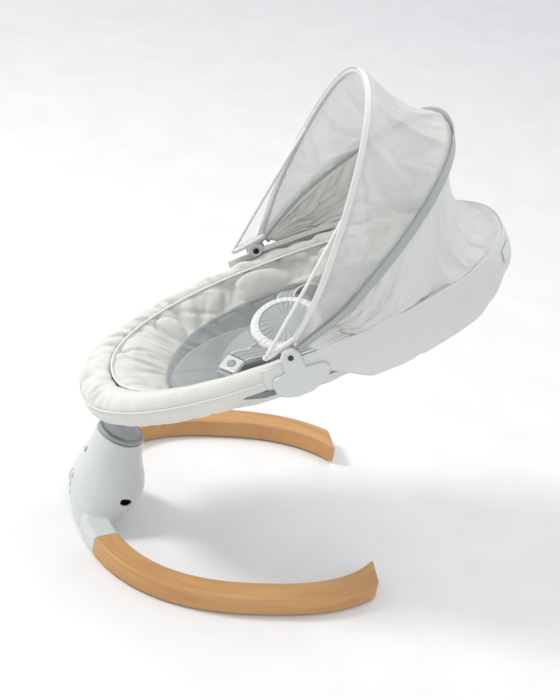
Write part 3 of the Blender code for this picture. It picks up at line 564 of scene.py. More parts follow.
def spline(points, count, closed=False):
    """Smooth curve through the points, evenly spread, as (count, dim)."""
    P = np.array(points, float)
    n = len(P)
    if closed:
        idx = np.arange(-1, n + 2) % n
        Q, segs = P[idx], n
    else:
        Q, segs = np.vstack([2 * P[0] - P[1], P, 2 * P[-1] - P[-2]]), n - 1
    fine = []
    for i in range(segs):
        p0, p1, p2, p3 = Q[i:i + 4]
        for t in np.linspace(0, 1, 24, endpoint=False):
            fine.append(0.5 * (2 * p1 + (p2 - p0) * t + (2 * p0 - 5 * p1 + 4 * p2 - p3) * t * t + (3 * p1 - p0 - 3 * p2 + p3) * t ** 3))
    if not closed:
        fine.append(P[-1])
    else:
        fine.append(fine[0])
    fine = np.array(fine)
    d = np.concatenate([[0], np.cumsum(np.linalg.norm(np.diff(fine, axis=0), axis=1))])
    want = np.linspace(0, d[-1], count + 1 if closed else count)
    if closed:
        want = want[:-1]
    return np.stack([np.interp(want, d, fine[:, k]) for k in range(fine.shape[1])], 1)


def near_factor(a):
    """1 on the near (-Y) side of the seat between foot and hub, 0 elsewhere."""
    a = (np.asarray(a) + math.pi) % (2 * math.pi) - math.pi
    return ease(-a, 0.35, 0.7) * (1 - ease(-a, 2.0, 2.4))


# ------------------------------------------------------------------ padded rim
def hub_window(a, inner=0.085, fade=0.035):
    u, v = outline_uv(a, 1.0)
    return (1 - ease(np.abs(u - HUB_U), inner, inner + fade)) * ease(np.abs(v), 0.1, 0.13)


NA = 540
RIM_TOP = [(0.853, 0.002), (0.857, 0.0105), (0.871, 0.0170), (0.900, 0.0218), (0.935, 0.0222), (0.965, 0.0175), (0.986, 0.0105), (0.9985, 0.0015)]
RIM_SIDE = [(0.9985, 0.0015), (1.0035, -0.006), (1.0030, -0.017), (0.996, -0.0265), (0.984, -0.0300), (0.974, -0.0262), (0.972, -0.0150), (0.940, -0.0130), (0.900, -0.0125), (0.868, -0.0080), (0.853, 0.002)]
top = spline(RIM_TOP, 30)
side_ = spline(RIM_SIDE, 34)
section = np.vstack([top, side_[1:-1]])
a = np.linspace(0, 2 * math.pi, NA, endpoint=False)[:, None]
hw = hub_window(a)
n_sec = section[None, :, 1] * np.ones_like(a)
low = np.minimum(n_sec + 0.0125, 0)
n_sec = n_sec - low * hw
P = outline(a, section[None, :, 0] * np.ones_like(a), n_sec)
nrm = grid_normals(P, True, True)
centre = outline(a, np.full((1, P.shape[1]), 0.93), 0.0)
if float(np.mean(np.sum(nrm * (P - centre), -1))) < 0:
    nrm = -nrm
tt = np.zeros(P.shape[1])
tt[:30] = np.linspace(0, 1, 30)
on_top = np.zeros(P.shape[1])
on_top[:30] = np.sin(np.linspace(0, math.pi, 30)) ** 0.35
ac = (a + math.pi) % (2 * math.pi) - math.pi
nf = near_factor(ac)
cr = creases(ac, tt[None, :], 92, 7, width=(0.014, 0.034), reach=0.5, slant=0.05)
cr2 = creases(ac, tt[None, :], 46, 8, width=(0.02, 0.05), reach=0.9, slant=0.08)
amp = (1 - 0.90 * nf) * 0.0100
P = P + nrm * (on_top[None, :] * (0.0016 - amp * cr - 0.5 * amp * cr2))[..., None]
# stitched cross seam at the foot end on the near side
seam_a = -0.36
P = P - nrm * (0.0022 * np.exp(-((ac - seam_a) / 0.012) ** 2) * on_top[None, :])[..., None]
side_w = np.zeros(P.shape[1])
side_w[31:44] = np.sin(np.linspace(0, math.pi, 13))
cs = creases(ac, (np.linspace(0, 1, P.shape[1]) * 0)[None, :], 60, 9, width=(0.012, 0.04), reach=1.0)
P = P - nrm * (side_w[None, :] * 0.0022 * cs)[..., None]
# seam groove at both edges of the top
for k, d in ((29, 0.0016), (0, 0.0012)):
    P[:, k] = P[:, k] - nrm[:, k] * d
P = P + nrm * (fbm(P, 38.0, 3.1, 2) * 0.0007)[..., None]
rim = fix_normals(grid_object("rim_cushion", P, M["pad"], True, True))
pins = np.ones(P.shape[:2])
pins[:, 2:28] = 0.0
pins[:, 33:42] = 0.0
free = 1 - pins
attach(rim, "swing")
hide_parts("rim_pad")

A = np.linspace(0, 2 * math.pi, 480, endpoint=False)
seam_path = outline(A, 1.0005, 0.0018)
piping = tube("rim_piping", seam_path, 0.0013, M["hem"], 8, True)
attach(piping, "swing")


def stitches(name, path, length, thick, mat, body="swing", gap=0.45):
    """A row of short raised stitches along a path."""
    path = np.array(path, float)
    d = np.concatenate([[0], np.cumsum(np.linalg.norm(np.diff(path, axis=0), axis=1))])
    count = int(d[-1] / (length * (1 + gap)))
    verts, faces = [], []
    for i in range(count):
        s0 = i * length * (1 + gap)
        c = [np.array([np.interp(s0 + length * k, d, path[:, j]) for j in range(3)]) for k in (0.0, 0.5, 1.0)]
        t = Vector(c[2] - c[0]).normalized()
        e = t.orthogonal().normalized()
        f = t.cross(e)
        base = len(verts)
        for q, k in zip(c, (0.45, 1.0, 0.45)):
            for j in range(6):
                w = 2 * math.pi * j / 6
                verts.append(Vector(q) + e * (thick * k * math.cos(w)) + f * (thick * k * math.sin(w)))
        faces += grid_faces(3, 6, False, True, base)
        faces += [tuple(base + j for j in reversed(range(6))), tuple(base + 12 + j for j in range(6))]
    ob = fix_normals(add_object(name, verts, faces, mat))
    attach(ob, body)
    return ob


A = np.linspace(-2.2, -0.42, 260)
stitches("rim_stitches", outline(A, 0.878, 0.0212), 0.0040, 0.0005, M["stitch"])


# ------------------------------------------------------------------ inner padded ring
def ring_in(a):
    """Inner edge of the inner ring as (share of outline, height): wide at the foot, narrower at the sides."""
    w = ease(np.abs((a + math.pi) % (2 * math.pi) - math.pi), 0.15, 1.3)
    return 0.660 + 0.065 * w, -0.050 + 0.016 * w


s_in, n_in = ring_in(a)
prof_t = np.linspace(0, 1, 34)[None, :]
s_out, n_out = 0.8495, 0.0085
P_s = s_out + (s_in - s_out) * prof_t
P_n = n_out + (n_in - n_out) * prof_t ** 1.25 + 0.0085 * np.sin(math.pi * prof_t) ** 0.7
lipfac = np.exp(-((prof_t - 0.03) / 0.035) ** 2)
P_n = P_n + 0.0030 * lipfac
topP = outline(a, P_s, P_n)
nrm = grid_normals(topP, True, False)
if float(np.mean(nrm @ np.array(N))) < 0:
    nrm = -nrm
cr = creases(ac, prof_t, 88, 17, width=(0.012, 0.034), reach=0.75, slant=0.16)
cr2 = creases(ac, prof_t, 40, 18, width=(0.03, 0.055), reach=1.1, slant=0.20)
mid = np.sin(math.pi * np.clip(prof_t, 0, 1)) ** 0.4
side_boost = 0.75 + 0.75 * np.abs(np.sin(ac))
topP = topP - nrm * ((0.0068 * cr + 0.0046 * cr2) * mid * side_boost)[..., None]
topP = topP + nrm * (fbm(topP, 36.0, 5.2, 2) * 0.0010 * mid)[..., None]
bt = np.linspace(0, 1, 8)[None, :]
bs = s_in - 0.004 + (0.842 - s_in) * bt
bn = n_in - 0.010 + (0.002 - n_in) * bt ** 1.2
botP = outline(a, bs, bn)
P = np.concatenate([topP, botP], 1)
ring = fix_normals(grid_object("inner_ring_cushion", P, M["pad"], True, True))
pins = np.ones(P.shape[:2])
pins[:, 3:31] = 0.0
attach(ring, "swing")
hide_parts("inner_ring")
A = np.linspace(0, 2 * math.pi, 420, endpoint=False)
edge = tube("inner_ring_binding", outline(A, 0.8455, 0.0125), 0.0021, M["hem"], 8, True)
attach(edge, "swing")


# ------------------------------------------------------------------ grey liner
def liner_height(a, q):
    s_e, n_e = ring_in(a)
    n_e = n_e + 0.001
    return n_e + (-0.0935 - n_e) * (1 - np.abs(q) ** 3.6)


qs = np.concatenate([np.linspace(1.02, 0.5, 26), np.linspace(0.47, 0.02, 16)])[None, :]
s_e, _ = ring_in(a)
LP = outline(a, s_e * qs, liner_height(a, np.minimum(qs, 1.0)))
nrm = grid_normals(LP, True, False)
if float(np.mean(nrm @ np.array(N))) < 0:
    nrm = -nrm
wall = ease(qs, 0.35, 0.8) * (1 - 0.6 * ease(qs, 0.93, 1.0))
cr = creases(ac, 1 - qs, 52, 27, width=(0.020, 0.05), reach=0.8, slant=0.10, both=False)
cr2 = creases(ac, 1 - qs, 24, 28, width=(0.05, 0.09), reach=1.2, slant=0.12, both=False)
boost = 0.45 + 0.75 * np.abs(np.sin(ac))
LP = LP - nrm * ((0.0040 * cr + 0.0042 * cr2) * wall * boost)[..., None]
LP = LP + nrm * (fbm(LP, 22.0, 8.0, 2) * 0.0012)[..., None]
LB = outline(a, s_e * qs[:, ::-1] * 0.985, liner_height(a, np.minimum(qs[:, ::-1], 1.0)) - 0.0075)
liner_full = np.concatenate([LP, LB], 1)
nr, nc = liner_full.shape[:2]
verts = liner_full.reshape(-1, 3)
faces = []
for r in range(nr):
    r1 = (r + 1) % nr
    for c in range(nc):
        c1 = (c + 1) % nc
        if c == qs.shape[1] - 1:
            continue
        faces.append((r * nc + c, r * nc + c1, r1 * nc + c1, r1 * nc + c))
k = qs.shape[1] - 1
faces.append(tuple(r * nc + k for r in range(nr)))
faces.append(tuple(r * nc + k + 1 for r in reversed(range(nr))))
liner = fix_normals(add_object("liner_velour", verts, faces, M["velour"]))
pins = np.ones((nr, nc))
pins[:, 3:24] = 0.0
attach(liner, "swing")
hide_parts("seat_liner")


def liner_surface(u, v):
    """Height of the liner above a point of the seat plane."""
    u, v = np.broadcast_arrays(np.asarray(u, float), np.asarray(v, float))
    ang = np.arctan2(v / SEAT_HALF, (SEAT_C - u) / SEAT_C)
    for _ in range(12):
        eu, ev = outline_uv(ang, 1.0)
        want = np.arctan2(v, SEAT_C - u)
        have = np.arctan2(ev, SEAT_C - eu)
        ang = ang + (want - have) * 0.8
    eu, ev = outline_uv(ang, 1.0)
    s = np.hypot(u - SEAT_C, v) / np.maximum(np.hypot(eu - SEAT_C, ev), 1e-6)
    se, _ = ring_in(ang)
    return liner_height(ang, np.minimum(s / se, 1.05))


# oval seat cushion, blown up by a cloth run, seams pressed in afterwards
PC_U, PC_A, PC_B = 0.286, 0.142, 0.098
na, nq = 160, 22
ang = np.linspace(0, 2 * math.pi, na, endpoint=False)[:, None]
q = np.linspace(1.0, 0.04, nq)[None, :]
uu, vv = PC_U + PC_A * q * np.cos(ang), PC_B * q * np.sin(ang)
base = liner_surface(uu, vv)
CT = to_world(uu, vv, base + 0.0035 + 0.0115 * np.sqrt(np.clip(1 - q ** 4, 0, 1)))
CB = to_world(uu, vv, base + 0.0012)[:, ::-1]
full = np.concatenate([CT, CB], 1)
verts = full.reshape(-1, 3)
nr, nc = full.shape[:2]
faces = [(r * nc + c, r * nc + (c + 1) % nc, ((r + 1) % nr) * nc + (c + 1) % nc, ((r + 1) % nr) * nc + c) for r in range(nr) for c in range(nc) if c != nq - 1]
faces.append(tuple(r * nc + nq - 1 for r in range(nr)))
faces.append(tuple(r * nc + nq for r in reversed(range(nr))))
cushion = fix_normals(add_object("seat_cushion", verts, faces, M["velour"]))
pins = np.zeros((nr, nc))
pins[:, nq:] = 1.0
pins[:, 0] = 1.0
simulate(cushion, pins.ravel(), frames=14, pressure=4.0, shrink=-0.03, cap=0.006, bend=0.2)
co = np.array([v.co for v in cushion.data.vertices]).reshape(nr, nc, 3)
T_ = co[:, :nq]
nrm = grid_normals(T_, True, False)
if float(np.mean(nrm @ np.array(N))) < 0:
    nrm = -nrm
g_ang = (ang + math.pi) % (2 * math.pi) - math.pi
foot_side = np.exp(-((np.abs(g_ang) - math.pi) / 1.0) ** 2)
cr = creases(g_ang, 1 - q, 34, 41, width=(0.035, 0.07), reach=0.5, slant=0.25, both=False)
T_ = T_ - nrm * (0.0030 * cr * (0.35 + foot_side))[..., None] * np.sin(math.pi * np.clip(q, 0, 0.97))[..., None] ** 0.5
T_ = T_ + nrm * (fbm(T_, 30.0, 2.0, 2) * 0.0009)[..., None]
co[:, :nq] = T_
cushion.data.vertices.foreach_set("co", co.reshape(-1).astype(np.float32))
cushion.data.update()
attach(cushion, "swing")
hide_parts("seat_pad")
ea = np.linspace(0, 2 * math.pi, 300, endpoint=False)
eu, ev = PC_U + (PC_A + 0.0006) * np.cos(ea), (PC_B + 0.0006) * np.sin(ea)
cord_edge = tube("seat_cushion_piping", to_world(eu, ev, liner_surface(eu, ev) + 0.0032), 0.0013, M["velour"], 8, True)
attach(cord_edge, "swing")

# ------------------------------------------------------------------ outer seat cover (bag under the frame)
qs = np.linspace(1.0, 0.03, 46)[None, :]
s_sh = 0.905 * qs
n_sh = -0.011 - 0.107 * (1 - qs ** 3.0)
SP = outline(a, s_sh, n_sh)
nrm = grid_normals(SP, True, False)
if float(np.mean(nrm @ np.array(N))) > 0:
    nrm = -nrm
wall = ease(1 - qs, 0.02, 0.12) * (1 - ease(1 - qs, 0.45, 0.75))
cr = creases(ac, 1 - qs, 44, 51, width=(0.02, 0.05), reach=0.4, slant=0.25, both=False)
cr2 = creases(ac, 1 - qs, 20, 52, width=(0.05, 0.10), reach=0.6, slant=0.3, both=False)
SP = SP - nrm * ((0.0035 * cr + 0.0050 * cr2) * wall)[..., None] + nrm * (fbm(SP, 14.0, 4.0, 3) * 0.0022 * ease(1 - qs, 0.0, 0.2))[..., None]
verts = np.concatenate([SP.reshape(-1, 3)], 0)
faces = grid_faces(SP.shape[0], SP.shape[1], True, False)
faces.append(tuple(r * SP.shape[1] + SP.shape[1] - 1 for r in range(SP.shape[0])))
bag = fix_normals(add_object("seat_cover_bag", verts, faces, M["shell"]))
pins = np.ones(SP.shape[:2])
pins[:, 3:40] = 0.0
solidify(bag, 0.0016, 0.0)
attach(bag, "swing")
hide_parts("seat_shell")

# ------------------------------------------------------------------ belly pad
PAD_C = seat(0.3605, 0.0, -0.023)
PAD_N = Vector((-0.35, -0.25, 0.90)).normalized()
PAD_U = (U - PAD_N * U.dot(PAD_N)).normalized()
PAD_V = PAD_N.cross(PAD_U)


def pad_point(r, w, h):
    r, w, h = np.broadcast_arrays(np.asarray(r, float), np.asarray(w, float), np.asarray(h, float))
    return np.array(PAD_C) + (r * np.cos(w))[..., None] * np.array(PAD_U) + (r * np.sin(w))[..., None] * np.array(PAD_V) + h[..., None] * np.array(PAD_N)


W = np.linspace(0, 2 * math.pi, 192, endpoint=False)[:, None]
prof = spline([(0.0455, 0.0050), (0.0480, 0.0062), (0.0520, 0.0074), (0.0560, 0.0066), (0.0590, 0.0035), (0.0598, 0.0), (0.0588, -0.0035), (0.0540, -0.0060), (0.0400, -0.0066), (0.0200, -0.0068), (0.0010, -0.0068), (0.0010, 0.0045), (0.0250, 0.0045)], 56)
pr, ph = prof[None, :, 0], prof[None, :, 1]
pk = 0.0009 * np.sin(W * 34) * np.exp(-((pr - 0.053) / 0.006) ** 2) * (ph > 0)
BP = pad_point(pr, W, ph + pk)
pad_body = fix_normals(grid_object("belly_pad_ring", BP, M["hem"], True, True))
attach(pad_body, "swing")
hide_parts("belly_pad")
rr = np.linspace(0.0462, 0.0005, 26)[None, :]
gather = 0.0009 * np.sin(W * 26 + 0.6 * np.sin(W * 5)) * ease(rr, 0.008, 0.03) + 0.0005 * np.sin(W * 47) * ease(rr, 0.02, 0.046)
dome = 0.0055 + 0.0040 * (1 - (rr / 0.0465) ** 2)
MP = pad_point(rr, W, dome + gather)
MB = pad_point(rr[:, ::-1], W, np.full_like(rr, 0.0030))
full = np.concatenate([MP, MB], 1)
nr, nc = full.shape[:2]
faces = [(r * nc + c, r * nc + (c + 1) % nc, ((r + 1) % nr) * nc + (c + 1) % nc, ((r + 1) % nr) * nc + c) for r in range(nr) for c in range(nc) if c != rr.shape[1] - 1]
faces.append(tuple(r * nc + rr.shape[1] - 1 for r in range(nr)))
faces.append(tuple(r * nc + rr.shape[1] for r in reversed(range(nr))))
pad_mesh = fix_normals(add_object("belly_pad_mesh", full.reshape(-1, 3), faces, M["mesh"]))
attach(pad_mesh, "swing")
for nm, r, h, th in (("belly_pad_piping_inner", 0.0470, 0.0066, 0.0014), ("belly_pad_piping_outer", 0.0594, 0.0010, 0.0016)):
    ob = tube(nm, pad_point(r, np.linspace(0, 2 * math.pi, 160, endpoint=False), h), th, M["hem"], 8, True)
    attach(ob, "swing")


# ------------------------------------------------------------------ harness straps
def bezier(p0, p1, p2, p3, n):
    t = np.linspace(0, 1, n)[:, None]
    p0, p1, p2, p3 = [np.array(p) for p in (p0, p1, p2, p3)]
    return p0 * (1 - t) ** 3 + p1 * 3 * t * (1 - t) ** 2 + p2 * 3 * t * t * (1 - t) + p3 * t ** 3


def pad_edge(toward):
    d = (toward - PAD_N * toward.dot(PAD_N)).normalized()
    return PAD_C + d * 0.0600, d


def strap(node, path, width_dir, w, ribs=3, flare=0.0):
    d = np.gradient(path, axis=0)
    d /= np.linalg.norm(d, axis=1, keepdims=True)
    wd = np.array(width_dir)[None] - d * (d @ np.array(width_dir))[:, None]
    wd /= np.linalg.norm(wd, axis=1, keepdims=True)
    nn = np.cross(d, wd)
    if float(np.mean(nn @ np.array(N))) < 0:
        nn = -nn
    half = w / 2 * (1 + flare * np.sin(np.linspace(0, math.pi, len(path))))
    x = np.linspace(-1, 1, 33)
    h_top = 0.0017 + 0.0006 * np.cos(x * math.pi * ribs) + 0.0006 * (1 - x ** 2)
    top_ = path[:, None] + wd[:, None] * (x[None, :, None] * half[:, None, None]) + nn[:, None] * h_top[None, :, None]
    bot_ = path[:, None] + wd[:, None] * (x[::-1][None, :, None] * half[:, None, None]) - nn[:, None] * 0.0018
    P_ = np.concatenate([top_, bot_], 1)
    nr_, nc_ = P_.shape[:2]
    faces_ = grid_faces(nr_, nc_, False, True) + [tuple(range(nc_)), tuple((nr_ - 1) * nc_ + i for i in reversed(range(nc_)))]
    ob = fix_normals(add_object(node + "_cloth", P_.reshape(-1, 3), faces_, M["web"]))
    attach(ob, "swing")
    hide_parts(node)
    for k, nm in ((-1, "a"), (1, "b")):
        p = tube(f"{node}_piping_{nm}", path + wd * (k * half)[:, None] + nn * 0.0006, 0.0014, M["hem"], 8)
        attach(p, "swing")


def liner_n1(u, v):
    return float(liner_surface(u, v))


p, d = pad_edge(Y * 1.0 + U * 0.2)
end = seat(0.428, 0.0940, -0.0530)
strap("waist_strap_left", bezier(p, p + d * 0.02, end + N * 0.035 - Y * 0.012, end, 40), U, 0.030)
BUCK_C = seat(0.255, -0.074, -0.0130)
BUCK_U = (U * 0.72 + Y * 0.69)
BUCK_U = (BUCK_U - PAD_N * BUCK_U.dot(PAD_N)).normalized()
BUCK_V = PAD_N.cross(BUCK_U)
p, d = pad_edge(-U * 0.72 - Y * 0.69)
b_ = BUCK_C + BUCK_U * 0.0180
strap("waist_strap_right", bezier(p, p + d * 0.012, b_ + BUCK_U * 0.010, b_, 30), BUCK_V, 0.030)
b_ = BUCK_C - BUCK_U * 0.0170
end = seat(0.247, -0.0800, -0.0440)
strap("anchor_strap_right", bezier(b_, b_ - BUCK_U * 0.016, end + N * 0.026 - U * 0.002, end, 30), BUCK_V, 0.028)
p, d = pad_edge(-U * 1.0 - Y * 0.12)
ce = seat(0.233, -0.013, liner_n1(0.233, -0.013) + 0.0165)
strap("crotch_strap", bezier(ce, ce + N * 0.020 - U * 0.004, p + d * 0.030, p, 44), Y, 0.046, ribs=4, flare=0.12)


# ------------------------------------------------------------------ canopy: gauze between the bows
def canopy_point(w, aa, lift=0.0, s=1.0):
    """w = 0 on the rear bow, 1 on the front bow."""
    ang_ = REAR_BOW[0] + (FRONT_BOW[0] - REAR_BOW[0]) * w
    hgt = REAR_BOW[1] + (FRONT_BOW[1] - REAR_BOW[1]) * w + lift
    half = (REAR_BOW[2] + 0.0005) + (FRONT_BOW[2] - REAR_BOW[2]) * w
    return bow_points(ang_, hgt, half, aa, s)


LO_C = math.asin((0.022 / 0.41) ** (BOW_N / 2))
cols = np.linspace(LO_C, math.pi - LO_C, 210)[None, :]
rows = np.linspace(0.0, 1.0, 64)[:, None]
CP = canopy_point(rows, cols, lift=0.0045)
nrm = grid_normals(CP)
if float(np.mean(np.sum(nrm * (CP - np.array(HUB)), -1))) < 0:
    nrm = -nrm
tight = np.sin(math.pi * rows)
g = np.random.default_rng(61)
disp = -0.010 * tight * np.sin(cols) ** 0.5
for _ in range(34):
    c0, r0 = g.uniform(0.35, math.pi - 0.35), g.uniform(0.1, 0.9)
    wd_, ln_, th_ = g.uniform(0.02, 0.05), g.uniform(0.12, 0.5), g.uniform(-0.9, 0.9)
    x_ = (cols - c0) * math.cos(th_) + (rows - r0) * math.sin(th_) * 0.45
    y_ = -(cols - c0) * math.sin(th_) + (rows - r0) * math.cos(th_) * 0.45
    disp = disp + g.uniform(-0.0095, 0.0055) * np.exp(-(x_ / wd_) ** 2 - (y_ / ln_) ** 2)
disp = disp * np.sin(math.pi * np.clip(rows, 0.0, 1.0)) ** 0.5
disp = disp + 0.0045 * tight * fbm(CP, 15.0, 7.7, 3)
CP = CP + nrm * disp[..., None]
hood = grid_object("canopy_gauze_sheet", CP, M["gauze"])
pins = np.zeros(CP.shape[:2])
pins[:6] = pins[-6:] = 1.0
pins[:, :14] = pins[:, -14:] = 1.0
simulate(hood, pins.ravel(), frames=9, gravity=0.35, shrink=-0.035, cap=0.010, bend=0.06, stiff=6.0, mass=0.1)
W_hood = np.repeat(np.linspace(0, 1, 64)[:, None], 210, 1).ravel()


def blend_piece(ob):
    """Bakes ob's transform into its mesh."""
    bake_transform(ob)
    return ob


def coords_of(ob):
    return np.array([v.co for v in ob.data.vertices], float)


solidify(hood, 0.0008, 0.0)
blend_piece(hood)
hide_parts("canopy_cloth")


def bow_frame(spec, lo, count, lift=0.0):
    aa = np.linspace(lo, math.pi - lo, count)
    C_ = bow_points(spec[0], spec[1] + lift, spec[2] + lift, aa)
    t = np.gradient(C_, axis=0)
    t /= np.linalg.norm(t, axis=1, keepdims=True)
    radial = C_ - np.array(HUB)
    plane_n = np.array([-math.sin(spec[0]), 0, math.cos(spec[0])])
    out = np.cross(t, plane_n)
    out /= np.linalg.norm(out, axis=1, keepdims=True)
    if float(np.mean(np.sum(out * radial, 1))) < 0:
        out = -out
    return C_, t, out, np.broadcast_to(plane_n, C_.shape)


# bound edge over the front bow, with its hem
C_, t_, out_, pn_ = bow_frame(FRONT_BOW, LO_C, 220)
ob = tube("front_bow_binding", C_ + out_ * 0.0002, 0.0043, M["bind"], 12)
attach(ob, "canopy_front")
ob = ribbon("front_bow_hem", C_ + pn_ * 0.0 + out_ * 0.0048, pn_, out_, 0.0048, 0.0010, M["hem"])
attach(ob, "canopy_front")
# grey tape over the rear bow
C_, t_, out_, pn_ = bow_frame(REAR_BOW, LO_C, 220)
tilt = (out_ * 0.80 - pn_ * 0.60)
wdir = np.cross(t_, tilt)
half_tape = 0.0135 * (0.75 + 0.25 * ease(np.sin(np.linspace(0, math.pi, 220)), 0.0, 0.5))
ob = ribbon("rear_bow_tape", C_ + tilt * 0.0062, wdir, tilt, half_tape, 0.0013, M["tape"])
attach(ob, "canopy_rear")
for k in (-1, 1):
    ob = stitches(f"rear_tape_stitches_{'a' if k < 0 else 'b'}", C_ + tilt * 0.0072 + wdir * (k * (half_tape - 0.0016))[:, None], 0.0032, 0.0004, M["stitch"], "canopy_rear")

# ------------------------------------------------------------------ canopy skirt from the rear bow to the rim round the head
G_HUB = angle_at(0.400, 1.0)


def skirt_point(w, f):
    aa = LO_C * 1.05 + (math.pi - 2.1 * LO_C) * f
    top_ = bow_points(REAR_BOW[0] - math.radians(0.4), REAR_BOW[1] + 0.002, REAR_BOW[2] - 0.0015, aa)
    an = -G_HUB - (2 * math.pi - 2 * G_HUB) * f
    hem_ = outline(an, 1.004, 0.0235)
    c = top_ * (1 - w)[..., None] + hem_ * w[..., None]
    bulge = (np.array(N) * -0.013 + np.array(U) * -0.044)
    return c + bulge * (4 * w * (1 - w) * np.sin(math.pi * f) ** 2)[..., None]


nf_, nw_ = 230, 84
f = np.linspace(0.0, 1.0, nf_)[None, :]
w = np.linspace(0.0, 1.0, nw_)[:, None]
w, f = np.broadcast_arrays(w, f)
SK = skirt_point(w, f)
nrm = grid_normals(SK)
ref = np.array(seat(0.5, 0, 0.05))
if float(np.mean(np.sum(nrm * (SK - ref), -1))) < 0:
    nrm = -nrm
g = np.random.default_rng(71)
fold = np.zeros(SK.shape[:2])
fside = np.minimum(f, 1 - f)
for i in range(9):
    w0 = (i + g.uniform(0.25, 0.75)) / 9
    wd_ = g.uniform(0.018, 0.045)
    drift = g.uniform(-0.15, 0.15)
    amp_ = g.uniform(0.5, 1.0) * (0.0075 if i % 2 else 0.0115)
    reach_ = g.uniform(0.18, 0.40)
    fold -= amp_ * np.exp(-((w - w0 - drift * fside) / (wd_ * (0.8 + 2.2 * fside))) ** 2) * np.exp(-(fside / reach_) ** 2) * ease(fside, 0.0, 0.05)
for i in range(14):
    w0, f0 = g.uniform(0.1, 0.9), g.uniform(0.2, 0.8)
    fold += g.uniform(-0.004, 0.003) * np.exp(-((w - w0) / g.uniform(0.04, 0.1)) ** 2 - ((f - f0 + (w - w0) * g.uniform(-0.2, 0.2)) / g.uniform(0.05, 0.15)) ** 2)
edge_fade = ease(w, 0.0, 0.06) * (1 - ease(w, 0.95, 1.0))
SK = SK + nrm * (fold * edge_fade)[..., None] + nrm * (0.0022 * edge_fade * fbm(SK, 11.0, 2.4, 3))[..., None]
skirt = grid_object("canopy_skirt_sheet", SK, M["skirt"])
pins = np.zeros(SK.shape[:2])
pins[:4] = pins[-4:] = 1.0
pins[:, :10] = pins[:, -10:] = 1.0
simulate(skirt, pins.ravel(), frames=9, gravity=0.5, shrink=-0.030, cap=0.012, bend=0.08, stiff=6.0, mass=0.12)
Wsk = w.ravel().copy()
solidify(skirt, 0.0010, 0.0)
co = coords_of(skirt)
grid_co = SK.reshape(-1, 3)
blend_piece(skirt)
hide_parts("canopy_skirt")

# ------------------------------------------------------------------ head cover hanging over the outside of the rim
an = np.linspace(-G_HUB + 0.20, -(2 * math.pi - G_HUB) - 0.20, 300)[:, None]
uo, vo = outline_uv(an, 1.0)
deep = 0.30 + 0.70 * ease(uo, 0.385, 0.48)
deep = deep * (1 - 0.35 * ease(uo, 0.66, 0.75))
prof = spline([(1.001, 0.0245), (1.0075, 0.018), (1.013, 0.004), (1.015, -0.015), (1.008, -0.038), (0.990, -0.056), (0.955, -0.068), (0.900, -0.072)], 40)
ps, pn = prof[None, :, 0], prof[None, :, 1]
pn = np.where(pn < 0.0, pn * deep, pn)
HC = outline(an, ps, pn)
nrm = grid_normals(HC)
cen = np.array(seat(0.45, 0, -0.03))
if float(np.mean(np.sum(nrm * (HC - cen), -1))) < 0:
    nrm = -nrm
tt = np.linspace(0, 1, 40)[None, :]
an_c = (an + math.pi) % (2 * math.pi) - math.pi
cr = creases(an_c, tt, 50, 81, width=(0.02, 0.05), reach=0.6, slant=0.35)
cr2 = creases(an_c, tt, 20, 82, width=(0.05, 0.10), reach=0.9, slant=0.5)
HC = HC - nrm * ((0.0025 * cr + 0.0040 * cr2) * ease(tt, 0.05, 0.3))[..., None] + nrm * (0.0015 * fbm(HC, 15.0, 6.4, 2) * ease(tt, 0.0, 0.2))[..., None]
cover = grid_object("head_cover_cloth", HC, M["skirt"])
pins = np.zeros(HC.shape[:2])
pins[:, :2] = pins[:, -2:] = 1.0
pins[:2] = pins[-2:] = 1.0
solidify(cover, 0.0012, 0.0)
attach(cover, "swing")
A = np.linspace(-G_HUB + 0.2, -(2 * math.pi - G_HUB) - 0.2, 320)
ob = tube("head_seam_piping", outline(A, 1.0035, 0.0250), 0.0016, M["hem"], 8)
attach(ob, "swing")

# ------------------------------------------------------------------ side nets and their bound edges
for sgn, word in ((-1, "near"), (1, "far")):
    tip = Vector((0.217, sgn * 0.176, 0.4330))
    aa = np.linspace(0.03, 0.62, 60) if sgn < 0 else math.pi - np.linspace(0.03, 0.62, 60)
    leg = bow_points(FRONT_BOW[0], FRONT_BOW[1], FRONT_BOW[2], aa)
    zt = 0.757
    i_top = int(np.argmin(np.abs(leg[:, 2] - zt)))
    top_p = Vector(leg[i_top])
    line = np.array([tip.lerp(top_p, t) for t in np.linspace(0, 1, 60)])
    line[:, 1] += sgn * 0.004 * np.sin(np.linspace(0, math.pi, 60))
    ob = tube(f"net_edge_{word}", line, 0.0030, M["hem"], 10)
    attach(ob, "canopy_front")
    leg_s = np.array([leg[int(round(k))] for k in np.linspace(0, i_top, 60)])
    x = np.linspace(0, 1, 16)[:, None, None]
    NP = line[None] * (1 - x) + leg_s[None] * x
    NP[..., 1] += sgn * (0.004 * np.sin(math.pi * x[..., 0]) * np.sin(np.linspace(0, math.pi, 60))[None])
    net = grid_object(f"side_net_{word}", NP, M["net"])
    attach(net, "canopy_front")
    # rolled cloth from the tip back to the hub
    hubp = Vector((HUB.x + 0.012, sgn * 0.1700, HUB.z + 0.030))
    loop = bezier(tip, tip + Vector((-0.004, 0, -0.010)), hubp + Vector((-0.018, 0, -0.014)), hubp, 26)
    ob = tube(f"net_roll_{word}", loop, 0.0050, M["gauze_solid"] if "gauze_solid" in M else M["hem"], 10)
    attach(ob, "canopy_front")

